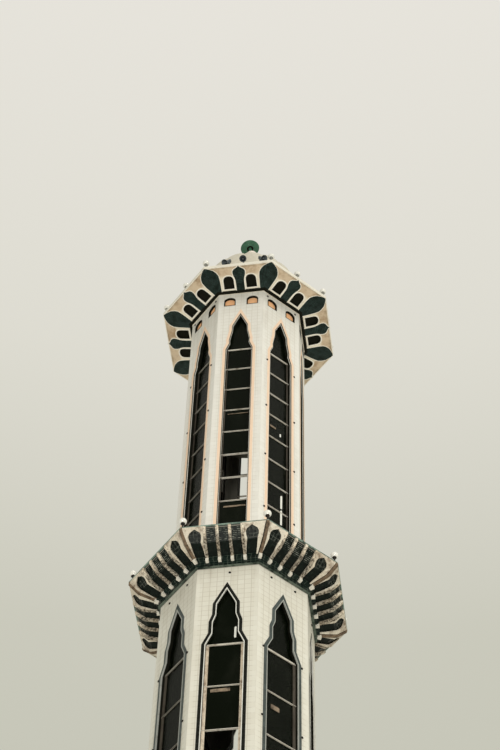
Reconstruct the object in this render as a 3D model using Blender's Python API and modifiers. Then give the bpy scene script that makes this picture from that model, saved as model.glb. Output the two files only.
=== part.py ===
"""Octagonal tiled minaret, from the ground to the finial, as a 1:2 scale model.

Sizes are those of the model, in metres, half of the real ones. +Z is up, the front face
looks along -Y, and the origin is the centre of the plinth's underside. The shaft has four
storeys of eight walls, with a bracketed gallery on each of the lower three, a flared
canopy on the top one, and a ribbed dome with a ball and bulb finial above.
"""
import math

import bmesh
import bpy
from mathutils import Matrix, Vector

SIDES = 8
SECTOR = math.tau / SIDES
COS_HALF = math.cos(SECTOR / 2)
GAP = 0.0003

# Heights of the shaft
PLINTH_HEIGHT = 0.30
SHAFT_TOP = 30.498
MIDDLE_TOP = 22.755
GALLERY_HEIGHT = 0.415
LOWER_STOREYS = 3
STOREY_HEIGHT = (MIDDLE_TOP - PLINTH_HEIGHT - (LOWER_STOREYS - 1) * GALLERY_HEIGHT) / LOWER_STOREYS

# Radii to the outer corners
UPPER_RADIUS = 1.013
MIDDLE_RADIUS = 1.138
STOREY_WIDENING = 0.125
PLINTH_STEP = 0.10
WALL_THICKNESS = 0.12

# Windows: half widths against drops below the top of the storey, outside the tiled border
WINDOW_THRESHOLD = 0.12
BORDER_WIDTH = 0.045
BORDERED_HALF = (
    (0.315, 1.612), (0.231, 1.392), (0.231, 1.157),
    (0.190, 1.010), (0.187, 0.776), (0.0, 0.332),
)
UPPER_HALF = (
    (0.226, 1.788), (0.172, 1.600), (0.178, 1.500),
    (0.138, 1.220), (0.132, 1.045), (0.0, 0.665),
)
NICHE_OFFSET = 0.195
NICHE_HALF_WIDTH = 0.100
NICHE_SILL_DROP = 0.388
NICHE_SPRING_DROP = 0.225
NICHE_DEPTH = 0.045
NICHE_ARC_STEPS = 6

# Doorway in the base storey: half widths against heights above the plinth
DOOR_HALF = ((0.270, 0.950), (0.205, 1.040), (0.205, 1.120), (0.155, 1.220), (0.0, 1.380))
DOOR_LINTEL_HEIGHT = 2.000

# Galleries: reach out from the shaft's face and rise above the shaft's top
GALLERY_PROFILE = (
    (0.038, 0.010), (0.038, 0.115), (0.080, 0.135), (0.298, 0.195),
    (0.448, 0.355), (0.462, 0.365), (0.462, GALLERY_HEIGHT),
)
KERB_INSET = 0.025
KERB_WIDTH = 0.060
KERB_HEIGHT = 0.020

# Canopy: corner radii against heights above the shaft's top
CANOPY_SOFFIT = ((0.0, 0.0), (1.050, 0.0), (1.062, 0.020), (1.5505, 0.116), (1.5505, 0.180))
CANOPY_ROOF_RADIUS = 0.95
CANOPY_ROOF_HEIGHT = 0.290
ROOF_SLOPE = (CANOPY_ROOF_HEIGHT - CANOPY_SOFFIT[-1][1]) / (CANOPY_SOFFIT[-1][0] - CANOPY_ROOF_RADIUS)

# Globe lamps on the kerbs, at the corners and on seven of the canopy's sides
CANOPY_SIDE_LAMPS = range(1, 8)
LAMP_PROFILE = (
    (0.0, 0.232), (0.044, 0.212), (0.058, 0.175), (0.040, 0.132),
    (0.026, 0.120), (0.030, -0.010), (0.0, -0.010),
)
LAMP_STEPS = 8

# Drum, dome and finial
DRUM_OUTER = 0.86
DRUM_INNER = 0.70
DRUM_TOP = 31.180
DOME_RADIUS = 0.92
DOME_CENTRE = 31.720
DOME_SHELL = 0.06
DOME_TIP = 32.860
DOME_NECK = 0.070
DOME_STEPS = 24
DOME_ARC_STEPS = 9
DOME_TIP_STEPS = 4
TIP_STARTS = math.radians(62)
TIP_PULL = 0.34
TIP_THICKNESS = 3 * DOME_SHELL
FINIAL_ROD = 0.030
FINIAL_FOOT_RADIUS = 0.055
FINIAL_FOOT_HEIGHT = 0.100
BALL_CENTRE = 33.440
BALL_RADIUS = 0.106
BALL_ARC_STEPS = 6
FINIAL_STEPS = 14

# The bud above the ball leans on its rod: radii against heights above the ball's centre
BUD_LEAN = math.radians(6.9)
BUD_LEAN_HEADING = math.radians(9.4)
BUD_PROFILE = (
    (0.0, 0.600), (0.008, 0.590), (0.015, 0.540), (0.040, 0.470), (0.090, 0.405),
    (0.140, 0.350), (0.170, 0.318), (0.177, 0.300), (0.165, 0.286), (0.065, 0.278),
    (0.030, 0.290), (0.030, 0.0), (0.0, 0.0),
)

# Horn loudspeakers on posts near the canopy's rim: place across, turn of the mouth, and face
HORNS = {
    "horn_front": (0.08, 0.0, 0),
    "horn_left": (-0.17, -60.0, 0),
    "horn_right": (0.37, 60.0, 0),
    "horn_back": (0.20, 0.0, 4),
}
HORN_SETBACK = 1.320
HORN_DROOP = 52.0
HORN_POST_HEIGHT = 0.275
HORN_FOOT_RADIUS = 0.030
HORN_POST_PROFILE = (
    (0.0, HORN_POST_HEIGHT), (0.014, HORN_POST_HEIGHT), (0.014, 0.020),
    (HORN_FOOT_RADIUS, 0.012), (HORN_FOOT_RADIUS, 0.0), (0.0, 0.0),
)
HORN_BELL_PROFILE = (
    (0.0, 0.120), (0.022, 0.120), (0.057, 0.150), (0.063, 0.150),
    (0.032, 0.068), (0.028, -0.020), (0.0, -0.020),
)
HORN_POST_STEPS = 8
HORN_BELL_STEPS = 10

# Winding stair around an open well
RISER = 0.10
STEPS_PER_TURN = 27
STAIR_START = math.radians(20)
WELL_RADIUS = 0.33
STAIR_SLAB = 0.085
STAIR_TOP = 28.20
LANDING_PARTS = 5
JOINT_ANGLE = 0.001

FACE_NAMES = (
    "front", "front_right", "right", "back_right",
    "back", "back_left", "left", "front_left",
)

MATERIALS = {
    "cream_tile": ((0.78, 0.74, 0.66), 0.45, 0.0),
    "white_tile": ((0.86, 0.85, 0.82), 0.40, 0.0),
    "stained_plaster": ((0.60, 0.52, 0.42), 0.80, 0.0),
    "dome_plaster": ((0.80, 0.77, 0.68), 0.60, 0.0),
    "finial_green": ((0.02, 0.16, 0.10), 0.35, 0.2),
    "lamp_globe": ((0.85, 0.84, 0.80), 0.20, 0.0),
    "horn_metal": ((0.12, 0.13, 0.14), 0.45, 0.6),
    "dark_concrete": ((0.10, 0.10, 0.09), 0.85, 0.0),
    "plinth_stone": ((0.55, 0.52, 0.47), 0.75, 0.0),
}


class Storey:
    """One storey of the shaft: its corner radius and the heights it stands between."""

    def __init__(self, name, radius, floor, top, half_window, material):
        self.name = name
        self.radius = radius
        self.floor = floor
        self.top = top
        self.half_window = half_window
        self.material = material

    @property
    def apothem(self):
        """Distance from the axis to the outer faces."""
        return self.radius * COS_HALF

    @property
    def inner_apothem(self):
        """Distance from the axis to the inner faces."""
        return self.apothem - WALL_THICKNESS


def make_storeys():
    """Return the four storeys from the ground up."""
    storeys = []
    floor = PLINTH_HEIGHT
    bordered = inset_half_outline(BORDERED_HALF, BORDER_WIDTH)
    for index, name in enumerate(("base", "lower", "middle")):
        radius = MIDDLE_RADIUS + STOREY_WIDENING * (LOWER_STOREYS - 1 - index)
        top = floor + STOREY_HEIGHT
        storeys.append(Storey(name, radius, floor, top, bordered, "cream_tile"))
        floor = top + GALLERY_HEIGHT
    storeys.append(Storey("upper", UPPER_RADIUS, floor, SHAFT_TOP, UPPER_HALF, "white_tile"))
    return storeys


def clear_scene():
    """Remove what the scene holds."""
    for item in list(bpy.data.objects):
        bpy.data.objects.remove(item, do_unlink=True)


def make_collection(name):
    """Return a new collection linked to the scene."""
    collection = bpy.data.collections.new(name)
    bpy.context.scene.collection.children.link(collection)
    return collection


def make_material(name):
    """Return the Principled material of that name, made on first use."""
    if name in bpy.data.materials:
        return bpy.data.materials[name]
    colour, roughness, metallic = MATERIALS[name]
    material = bpy.data.materials.new(name)
    material.use_nodes = True
    shader = material.node_tree.nodes["Principled BSDF"]
    shader.inputs["Base Color"].default_value = (*colour, 1.0)
    shader.inputs["Roughness"].default_value = roughness
    shader.inputs["Metallic"].default_value = metallic
    return material


def corner_point(radius, index):
    """Return the plan point of an octagon's corner; corner 0 ends the front face at +X."""
    angle = SECTOR * (index + 0.5)
    return Vector((radius * math.sin(angle), -radius * math.cos(angle)))


def inset_half_outline(half, distance):
    """Move a half window outline inward, keeping its jamb, its head and its mitres."""
    points = [Vector((half[0][0], half[0][1] + 1.0))] + [Vector(p) for p in half]
    points.append(Vector((-half[-2][0], half[-2][1])))
    moved = []
    for before, here, after in zip(points, points[1:], points[2:]):
        first = (here - before).normalized()
        second = (after - here).normalized()
        normal_a = Vector((first.y, -first.x))
        normal_b = Vector((second.y, -second.x))
        mitre = (normal_a + normal_b) / (1 + normal_a.dot(normal_b))
        moved.append((here.x + mitre.x * distance, here.y + mitre.y * distance))
    return tuple(moved)


def extruded_outline(name, points, half_depth, collection):
    """Make a closed solid from a flat outline, extruded both ways from its plane."""
    curve = bpy.data.curves.new(name, "CURVE")
    curve.dimensions = "2D"
    curve.fill_mode = "BOTH"
    curve.extrude = half_depth
    spline = curve.splines.new("POLY")
    spline.points.add(len(points) - 1)
    for spline_point, (x, y) in zip(spline.points, points):
        spline_point.co = (x, y, 0.0, 1.0)
    spline.use_cyclic_u = True
    source = bpy.data.objects.new(name + "_curve", curve)
    collection.objects.link(source)
    bpy.context.view_layer.update()
    evaluated = source.evaluated_get(bpy.context.evaluated_depsgraph_get())
    mesh = bpy.data.meshes.new_from_object(evaluated)
    bpy.data.objects.remove(source, do_unlink=True)
    shape = bmesh.new()
    shape.from_mesh(mesh)
    bmesh.ops.remove_doubles(shape, verts=shape.verts, dist=0.00001)
    bmesh.ops.recalc_face_normals(shape, faces=shape.faces)
    shape.to_mesh(mesh)
    shape.free()
    mesh.name = name
    solid = bpy.data.objects.new(name, mesh)
    collection.objects.link(solid)
    return solid


def turned(name, profile, steps, collection):
    """Turn a profile of radii and heights about +Z; it runs down the outer side first."""
    mesh = bpy.data.meshes.new(name)
    closed = profile[0][0] > 0
    edges = [(i, i + 1) for i in range(len(profile) - 1)]
    if closed:
        edges.append((len(profile) - 1, 0))
    mesh.from_pydata([(r, 0.0, z) for r, z in profile], edges, [])
    solid = bpy.data.objects.new(name, mesh)
    collection.objects.link(solid)
    screw = solid.modifiers.new("turn", "SCREW")
    screw.steps = steps
    screw.render_steps = steps
    screw.use_merge_vertices = True
    screw.merge_threshold = 0.0001
    screw.use_smooth_shade = False
    return solid


def hide_guide(guide):
    """Mark an object as a guide that is not part of the model."""
    guide.hide_render = True
    guide.display_type = "WIRE"


def add_boolean(solid, other, operation):
    """Cut or join a solid with a guide object."""
    boolean = solid.modifiers.new(other.name, "BOOLEAN")
    boolean.operation = operation
    boolean.solver = "EXACT"
    boolean.object = other
    hide_guide(other)


def finish(solid, material_name, smooth=False):
    """Give a piece its material and shading."""
    solid.data.materials.clear()
    solid.data.materials.append(make_material(material_name))
    if smooth:
        solid.data.shade_smooth()
        solid.data.set_sharp_from_angle(angle=math.radians(35))
    return solid


def full_outline(half, foot):
    """Mirror a half outline into a closed one that starts at its foot."""
    right = [(half[0][0], foot)] + list(half)
    left = [(-x, y) for x, y in reversed(right) if x > 0]
    return right + left


def arch_outline(centre, half_width, foot, spring, steps):
    """Return the outline of a round-headed niche."""
    points = [(centre + half_width, foot)]
    for step in range(steps + 1):
        angle = math.pi * step / steps
        x = centre + half_width * math.cos(angle)
        points.append((x, spring + half_width * math.sin(angle)))
    points.append((centre - half_width, foot))
    return points


def face_cutter(name, outline, depth, face, apothem, cutters):
    """Make a cutter from an outline on a wall's face, reaching that deep behind it."""
    solid = extruded_outline(name, outline, depth, cutters)
    upright = Matrix.Rotation(math.pi / 2, 4, "X")
    place = Matrix.Translation((0, -apothem, 0))
    turn = Matrix.Rotation(SECTOR * face, 4, "Z")
    solid.matrix_world = turn @ place @ upright
    return solid


def window_outline(storey, foot):
    """Return a storey's window outline in heights."""
    half = [(x, storey.top - drop) for x, drop in storey.half_window]
    return full_outline(half, foot)


def make_wall(storey, faces, name, parts, cutters):
    """Make a wall of one or two faces with mitred ends, its windows and niches cut out."""
    inner_radius = storey.inner_apothem / COS_HALF
    first, last = faces[0] - 1, faces[-1]
    outer = [corner_point(storey.radius, i) for i in range(first, last + 1)]
    inner = [corner_point(inner_radius, i) for i in range(last, first - 1, -1)]
    along_start = (outer[1] - outer[0]).normalized() * GAP / 2
    along_end = (outer[-2] - outer[-1]).normalized() * GAP / 2
    outer[0] += along_start
    inner[-1] += along_start
    outer[-1] += along_end
    inner[0] += along_end
    bottom, top = storey.floor + GAP, storey.top - GAP
    wall = extruded_outline(name, [tuple(p) for p in outer + inner], (top - bottom) / 2, parts)
    wall.location.z = (top + bottom) / 2
    for face in faces:
        cut_openings(wall, storey, face, cutters)
    return finish(wall, storey.material)


def cut_openings(wall, storey, face, cutters):
    """Cut a face's window, its doorway if it has one, and its niches."""
    label = f"{storey.name}_{FACE_NAMES[face % SIDES]}"
    foot = storey.floor + WINDOW_THRESHOLD
    if storey.name == "base" and face == 0:
        door = [(x, storey.floor + y) for x, y in DOOR_HALF]
        outline = full_outline(door, storey.floor - WINDOW_THRESHOLD)
        doorway = face_cutter("doorway", outline, 2 * WALL_THICKNESS, face, storey.apothem, cutters)
        add_boolean(wall, doorway, "DIFFERENCE")
        foot = storey.floor + DOOR_LINTEL_HEIGHT
    outline = window_outline(storey, foot)
    window = face_cutter(
        label + "_window", outline, 2 * WALL_THICKNESS, face, storey.apothem, cutters
    )
    add_boolean(wall, window, "DIFFERENCE")
    if storey.name != "upper":
        return
    for side in (-1, 1):
        outline = arch_outline(
            side * NICHE_OFFSET,
            NICHE_HALF_WIDTH,
            storey.top - NICHE_SILL_DROP,
            storey.top - NICHE_SPRING_DROP,
            NICHE_ARC_STEPS,
        )
        niche = face_cutter(
            f"{label}_niche_{side}", outline, NICHE_DEPTH, face, storey.apothem, cutters
        )
        add_boolean(wall, niche, "DIFFERENCE")


def make_walls(storey, parts, cutters):
    """Make a storey's walls: single faces where they show, pairs further down."""
    if storey.name in ("upper", "middle"):
        groups = [(face,) for face in range(SIDES)]
    elif storey.name == "lower":
        groups = [(face, face + 1) for face in range(0, SIDES, 2)]
    else:
        groups = [(0,), (1, 2), (3, 4), (5, 6), (7,)]
    for group in groups:
        label = FACE_NAMES[group[0]]
        make_wall(storey, group, f"{storey.name}_wall_{label}", parts, cutters)


def octagon(solid):
    """Turn an eight-step turned solid so that its faces line up with the shaft's."""
    solid.rotation_euler.z = SECTOR / 2
    return solid


def make_gallery(number, below, above, parts):
    """Make a gallery: a bracketed ring that carries a walkway around the shaft."""
    top = above.floor
    outline = [(below.apothem + reach, below.top + rise) for reach, rise in GALLERY_PROFILE]
    inner = above.inner_apothem
    outline = [(inner, top)] + outline[::-1] + [(below.apothem, below.top), (inner, below.top)]
    profile = [(r / COS_HALF, z) for r, z in outline]
    gallery = octagon(turned(f"gallery_{number}", profile, SIDES, parts))
    return finish(gallery, "stained_plaster")


def make_lamp(name, place, seat, cutters):
    """Make one globe lamp on its foot, as a turned solid at a plan point."""
    lamp = turned(name, LAMP_PROFILE, LAMP_STEPS, cutters)
    lamp.location = (place.x, place.y, seat)
    return lamp


def make_lamp_ring(name, corner_radius, seat, slope, sides, parts, cutters):
    """Make a kerb along a rim with a globe lamp at each corner and amid the given sides."""
    outer = corner_radius - KERB_INSET
    inner = outer - KERB_WIDTH
    seat += slope * KERB_INSET
    rise = slope * KERB_WIDTH
    profile = [
        (outer, seat + KERB_HEIGHT), (outer, seat),
        (inner, seat + rise), (inner, seat + KERB_HEIGHT + rise),
    ]
    ring = octagon(turned(name, profile, SIDES, parts))
    middle = (outer + inner) / 2
    foot = seat + KERB_HEIGHT + rise / 2
    places = [corner_point(middle, index) for index in range(SIDES)]
    places += [(corner_point(middle, k - 1) + corner_point(middle, k)) / 2 for k in sides]
    for index, place in enumerate(places):
        lamp = make_lamp(f"{name}_lamp_{index}", place, foot, cutters)
        add_boolean(ring, lamp, "UNION")
    return finish(ring, "lamp_globe")


def make_canopy(parts):
    """Make the canopy: a closed flared slab with an octagonal rim and a low roof."""
    soffit = [(r, SHAFT_TOP + rise) for r, rise in CANOPY_SOFFIT]
    roof = SHAFT_TOP + CANOPY_ROOF_HEIGHT
    profile = [(0.0, roof), (CANOPY_ROOF_RADIUS, roof)] + soffit[::-1]
    canopy = octagon(turned("canopy", profile, SIDES, parts))
    return finish(canopy, "stained_plaster")


def make_drum(parts):
    """Make the round drum that carries the dome."""
    bottom = SHAFT_TOP + CANOPY_ROOF_HEIGHT + GAP
    profile = [
        (DRUM_OUTER, DRUM_TOP), (DRUM_OUTER, bottom),
        (DRUM_INNER, bottom), (DRUM_INNER, DRUM_TOP),
    ]
    return finish(turned("dome_drum", profile, DOME_STEPS, parts), "dome_plaster", smooth=True)


def dome_outline(radius, bottom, tip, neck):
    """Return a dome's outline from its neck down to its foot, round with a drawn-up tip."""
    along, up = math.cos(TIP_STARTS), math.sin(TIP_STARTS)
    shoulder = Vector((radius * along, DOME_CENTRE + radius * up))
    end = Vector((neck, tip))
    control = shoulder + Vector((-up, along)) * radius * TIP_PULL
    points = [(neck, tip)]
    for step in range(1, DOME_TIP_STEPS):
        t = step / DOME_TIP_STEPS
        point = end * (1 - t) ** 2 + control * 2 * t * (1 - t) + shoulder * t * t
        points.append((point.x, point.y))
    foot = math.asin((bottom - DOME_CENTRE) / radius)
    for step in range(DOME_ARC_STEPS + 1):
        angle = TIP_STARTS + (foot - TIP_STARTS) * step / DOME_ARC_STEPS
        points.append((radius * math.cos(angle), DOME_CENTRE + radius * math.sin(angle)))
    return points


def make_dome(parts):
    """Make the dome as a shell, open at its foot, closed at its neck by the finial's seat."""
    bottom = DRUM_TOP + GAP
    outer = dome_outline(DOME_RADIUS, bottom, DOME_TIP, DOME_NECK)
    inner = dome_outline(DOME_RADIUS - DOME_SHELL, bottom, DOME_TIP - TIP_THICKNESS, 0.0)
    profile = [(0.0, DOME_TIP)] + outer + inner[::-1]
    return finish(turned("dome", profile, DOME_STEPS, parts), "dome_plaster", smooth=True)


def ball_outline(centre, radius, neck, steps):
    """Return a ball's outline, from neck to neck down its outer side."""
    start = math.asin(neck / radius)
    points = []
    for step in range(steps + 1):
        angle = start + (math.pi - 2 * start) * step / steps
        points.append((radius * math.sin(angle), centre + radius * math.cos(angle)))
    return points


def make_finial(parts, cutters):
    """Make the upright rod with its ball, and the bud that leans above it."""
    ball = ball_outline(BALL_CENTRE, BALL_RADIUS, FINIAL_ROD, BALL_ARC_STEPS)
    seat = DOME_TIP + GAP
    foot = [(FINIAL_ROD, seat + FINIAL_FOOT_HEIGHT), (FINIAL_FOOT_RADIUS, seat), (0.0, seat)]
    profile = [(0.0, ball[0][1])] + ball + foot
    finial = turned("finial", profile, FINIAL_STEPS, parts)
    bud = turned("finial_bud", BUD_PROFILE, FINIAL_STEPS, cutters)
    heading = Matrix.Rotation(BUD_LEAN_HEADING, 4, "Z")
    lean = Matrix.Rotation(-BUD_LEAN, 4, "Y")
    bud.matrix_world = Matrix.Translation((0, 0, BALL_CENTRE)) @ heading @ lean
    add_boolean(finial, bud, "UNION")
    return finish(finial, "finial_green", smooth=True)


def roof_height(apothem):
    """Return the canopy roof's height at a distance from the axis, square to a face."""
    drop = ROOF_SLOPE * (apothem / COS_HALF - CANOPY_ROOF_RADIUS)
    return SHAFT_TOP + CANOPY_ROOF_HEIGHT - drop


def make_horn(name, across, heading, face, parts, cutters):
    """Make one horn loudspeaker on its footed post, near the rim of one face."""
    foot = roof_height(HORN_SETBACK - HORN_FOOT_RADIUS) + GAP
    stand = Matrix.Translation((across, -HORN_SETBACK, foot))
    place = Matrix.Rotation(SECTOR * face, 4, "Z") @ stand
    aim = Matrix.Rotation(math.radians(heading), 4, "Z")
    droop = Matrix.Rotation(math.radians(90 + HORN_DROOP), 4, "X")
    post = turned(name, HORN_POST_PROFILE, HORN_POST_STEPS, parts)
    post.matrix_world = place
    horn = turned(name + "_bell", HORN_BELL_PROFILE, HORN_BELL_STEPS, cutters)
    horn.matrix_world = place @ aim @ Matrix.Translation((0, 0, HORN_POST_HEIGHT)) @ droop
    add_boolean(post, horn, "UNION")
    return finish(post, "horn_metal")


def stair_point(radius, angle, height):
    """Return a point of the stair; angles run clockwise from the front, seen from above."""
    return (-radius * math.sin(angle), -radius * math.cos(angle), height)


def stair_levels(first, last, is_top):
    """Return each edge's angle with the treads' heights before and after it."""
    turn = math.tau / STEPS_PER_TURN
    base = PLINTH_HEIGHT + GAP
    levels = []
    for step in range(first, last + 1):
        height = base + step * RISER
        levels.append([STAIR_START + step * turn, height, height + RISER])
    levels[0][0] += JOINT_ANGLE
    if is_top:
        levels[-1][2] = levels[-1][1]
        for _ in range(LANDING_PARTS):
            angle, _, height = levels[-1]
            levels.append([angle + turn, height, height])
    return levels


def make_flight(name, outer, levels, parts):
    """Make a flight of winding steps with a sloping soffit, closed at both ends."""
    shape = bmesh.new()
    edges = []
    for angle, before, after in levels:
        soffit = max(before - STAIR_SLAB, PLINTH_HEIGHT + GAP)
        heights = (soffit, before, after)
        edges.append([
            [shape.verts.new(stair_point(r, angle, z)) for r in (WELL_RADIUS, outer)]
            for z in heights
        ])
    for here, after in zip(edges, edges[1:]):
        shape.faces.new((here[2][0], here[2][1], after[1][1], after[1][0]))
        shape.faces.new((here[1][0], here[1][1], here[2][1], here[2][0]))
        shape.faces.new((here[0][1], here[0][0], after[0][0], after[0][1]))
        for side, order in ((0, 1), (1, -1)):
            loop = [here[0][side], after[0][side], after[1][side], here[2][side], here[1][side]]
            shape.faces.new(loop[::order])
    for end in (edges[0], edges[-1]):
        shape.faces.new((end[0][0], end[0][1], end[1][1], end[1][0]))
    bmesh.ops.remove_doubles(shape, verts=shape.verts, dist=0.00001)
    bmesh.ops.recalc_face_normals(shape, faces=shape.faces)
    bmesh.ops.triangulate(shape, faces=shape.faces)
    mesh = bpy.data.meshes.new(name)
    shape.to_mesh(mesh)
    shape.free()
    flight = bpy.data.objects.new(name, mesh)
    parts.objects.link(flight)
    return finish(flight, "dark_concrete")


def make_stair(storeys, parts):
    """Make the winding stair, one flight for each storey."""
    first = 0
    total = int((STAIR_TOP - PLINTH_HEIGHT) / RISER)
    for storey in storeys:
        is_last = storey is storeys[-1]
        last = total if is_last else int((storey.top - PLINTH_HEIGHT) / RISER)
        outer = storey.inner_apothem - GAP
        levels = stair_levels(first, last, is_last)
        make_flight(f"{storey.name}_stair", outer, levels, parts)
        first = last


def make_plinth(base, parts):
    """Make the solid octagonal plinth under the base storey."""
    radius = base.radius + PLINTH_STEP
    profile = [(0.0, PLINTH_HEIGHT), (radius, PLINTH_HEIGHT), (radius, 0.0), (0.0, 0.0)]
    return finish(octagon(turned("plinth", profile, SIDES, parts)), "plinth_stone")


def main():
    """Build the minaret from the plinth to the finial."""
    clear_scene()
    parts = make_collection("minaret")
    cutters = make_collection("cutters")
    storeys = make_storeys()
    make_plinth(storeys[0], parts)
    for storey in storeys:
        make_walls(storey, parts, cutters)
    for number, (below, above) in enumerate(zip(storeys, storeys[1:]), start=1):
        make_gallery(number, below, above, parts)
        rim = (below.apothem + GALLERY_PROFILE[-1][0]) / COS_HALF
        make_lamp_ring(f"gallery_{number}_lamps", rim, above.floor + GAP, 0.0, (), parts, cutters)
    make_canopy(parts)
    rim_radius, rim_rise = CANOPY_SOFFIT[-1]
    rim_height = SHAFT_TOP + rim_rise + GAP
    make_lamp_ring(
        "canopy_lamps", rim_radius, rim_height, ROOF_SLOPE, CANOPY_SIDE_LAMPS, parts, cutters
    )
    make_drum(parts)
    make_dome(parts)
    make_finial(parts, cutters)
    for name, (across, heading, face) in HORNS.items():
        make_horn(name, across, heading, face, parts, cutters)
    make_stair(storeys, parts)


main()
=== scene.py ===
"""Looks of the half-size octagonal minaret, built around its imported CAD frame.

Every piece stands in the model's own metres: +Z is up, the front face looks along -Y, and the
tower's axis is the Z axis. A face's own frame has X along the face, Y into the wall and Z up.
"""
from __future__ import annotations

import logging
import math
from dataclasses import dataclass, field
from enum import Enum
from typing import Callable, Iterable, Sequence

import bmesh
import bpy
from mathutils import Matrix, Vector

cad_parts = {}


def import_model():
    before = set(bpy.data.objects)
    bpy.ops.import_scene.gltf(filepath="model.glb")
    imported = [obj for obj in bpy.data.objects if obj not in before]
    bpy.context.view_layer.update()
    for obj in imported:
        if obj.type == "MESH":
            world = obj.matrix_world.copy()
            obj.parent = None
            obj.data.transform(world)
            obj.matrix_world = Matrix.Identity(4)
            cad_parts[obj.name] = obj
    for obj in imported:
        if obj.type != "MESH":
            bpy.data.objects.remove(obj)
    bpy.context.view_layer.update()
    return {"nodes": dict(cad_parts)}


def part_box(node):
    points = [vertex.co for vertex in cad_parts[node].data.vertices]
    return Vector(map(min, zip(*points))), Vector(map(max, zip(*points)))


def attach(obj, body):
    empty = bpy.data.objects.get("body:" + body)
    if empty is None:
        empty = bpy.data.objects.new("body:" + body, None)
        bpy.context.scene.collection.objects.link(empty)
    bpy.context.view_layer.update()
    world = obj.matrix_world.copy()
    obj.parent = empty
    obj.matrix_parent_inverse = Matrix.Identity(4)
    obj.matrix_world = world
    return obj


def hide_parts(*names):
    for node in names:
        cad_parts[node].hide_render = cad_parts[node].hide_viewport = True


LOG = logging.getLogger("minaret")
Piece = bpy.types.Object
Material = bpy.types.Material
Point = tuple[float, float]
Outline = Sequence[Point]
Colour = tuple[float, float, float]

SIDES = 8
STRAIGHT, DIAGONAL = (0, 2, 4, 6), (1, 3, 5, 7)
SECTOR = math.tau / SIDES
TAN_HALF = math.tan(SECTOR / 2)
COS_HALF = math.cos(SECTOR / 2)
CORNER_AZIMUTH = 22.5
TILE_ROW = 0.1008
GALLERY_REACH = 0.462


class Pane(Enum):
    """How the glass of one cell of a window is left."""

    DARK = 0
    SMOKED = 1
    OPEN = 2


@dataclass(frozen=True)
class Storey:
    """One storey of the shaft."""

    name: str
    apothem: float
    floor: float
    top: float

    @property
    def half_face(self) -> float:
        """Half the width of a face."""
        return self.apothem * TAN_HALF


STOREYS = (
    Storey("base", 1.28235, 0.30, 7.508333),
    Storey("lower", 1.16686, 7.923333, 15.131667),
    Storey("middle", 1.05138, 15.546667, 22.755),
    Storey("upper", 0.93589, 23.17, 30.498),
)


# Modelling by operators

def deselect() -> None:
    """Leave edit mode and select nothing."""
    if bpy.context.object and bpy.context.object.mode != "OBJECT":
        bpy.ops.object.mode_set(mode="OBJECT")
    bpy.ops.object.select_all(action="DESELECT")


def close(piece: Piece) -> Piece:
    """Leave edit mode with the piece's faces turned outwards.

    Args:
        piece: the piece, in edit mode.

    Returns:
        The piece, in object mode.
    """
    bpy.ops.mesh.select_all(action="SELECT")
    bpy.ops.mesh.normals_make_consistent(inside=False)
    bpy.ops.object.mode_set(mode="OBJECT")
    return piece


def pick_faces(test: Callable[[Vector], bool]) -> int:
    """Select the faces in edit mode that pass a test.

    Args:
        test: takes a face's centre.

    Returns:
        The number of faces selected.
    """
    mesh = bpy.context.object.data
    shape = bmesh.from_edit_mesh(mesh)
    bpy.ops.mesh.select_mode(type="FACE")
    for face in shape.faces:
        face.select_set(test(face.calc_center_median()))
    shape.select_flush_mode()
    bmesh.update_edit_mesh(mesh)
    bpy.ops.mesh.select_mode(type="FACE")
    return sum(face.select for face in shape.faces)


def draw(name: str, points: Sequence[Sequence[float]]) -> Piece:
    """Draw a chain of edges by extruding one vertex from point to point.

    Args:
        name: the piece's name.
        points: the chain's points, in metres.

    Returns:
        The piece, in edit mode.
    """
    deselect()
    bpy.ops.mesh.primitive_plane_add(size=1.0, location=(0, 0, 0))
    piece = bpy.context.object
    piece.name = piece.data.name = name
    bpy.ops.object.mode_set(mode="EDIT")
    bpy.ops.mesh.select_mode(type="VERT")
    bpy.ops.mesh.select_all(action="SELECT")
    bpy.ops.mesh.merge(type="CENTER")
    places = [Vector(point) for point in points]
    bpy.ops.transform.translate(value=places[0])
    for here, after in zip(places, places[1:]):
        bpy.ops.mesh.extrude_vertices_move(TRANSFORM_OT_translate={"value": after - here})
    bpy.ops.mesh.select_all(action="SELECT")
    return piece


def sheet(name: str, outline: Outline) -> Piece:
    """Fill a flat outline of along and up in the XZ plane, and stay in edit mode.

    Args:
        name: the piece's name.
        outline: its corners, in metres.

    Returns:
        The piece, in edit mode.
    """
    piece = draw(name, [(x, 0.0, z) for x, z in outline])
    bpy.ops.mesh.edge_face_add()
    bpy.ops.mesh.select_all(action="SELECT")
    return piece


def divide(heights: Iterable[float]) -> None:
    """Cut the mesh in edit mode across at heights.

    Args:
        heights: the heights of the cuts.
    """
    for height in heights:
        bpy.ops.mesh.select_all(action="SELECT")
        bpy.ops.mesh.bisect(plane_co=(0, 0, height), plane_no=(0, 0, 1))


def deepened(piece: Piece, front: float, back: float) -> Piece:
    """Extrude the flat mesh in edit mode between two depths.

    Args:
        piece: the piece, in edit mode.
        front: the depth of its front.
        back: the depth of its back.

    Returns:
        The piece.
    """
    bpy.ops.mesh.select_all(action="SELECT")
    bpy.ops.transform.translate(value=(0, front, 0))
    bpy.ops.mesh.extrude_region_move(TRANSFORM_OT_translate={"value": (0, back - front, 0)})
    return close(piece)


def slab(name: str, outline: Outline, front: float, back: float) -> Piece:
    """Make a solid from a flat outline, between two depths."""
    return deepened(sheet(name, outline), front, back)


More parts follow.
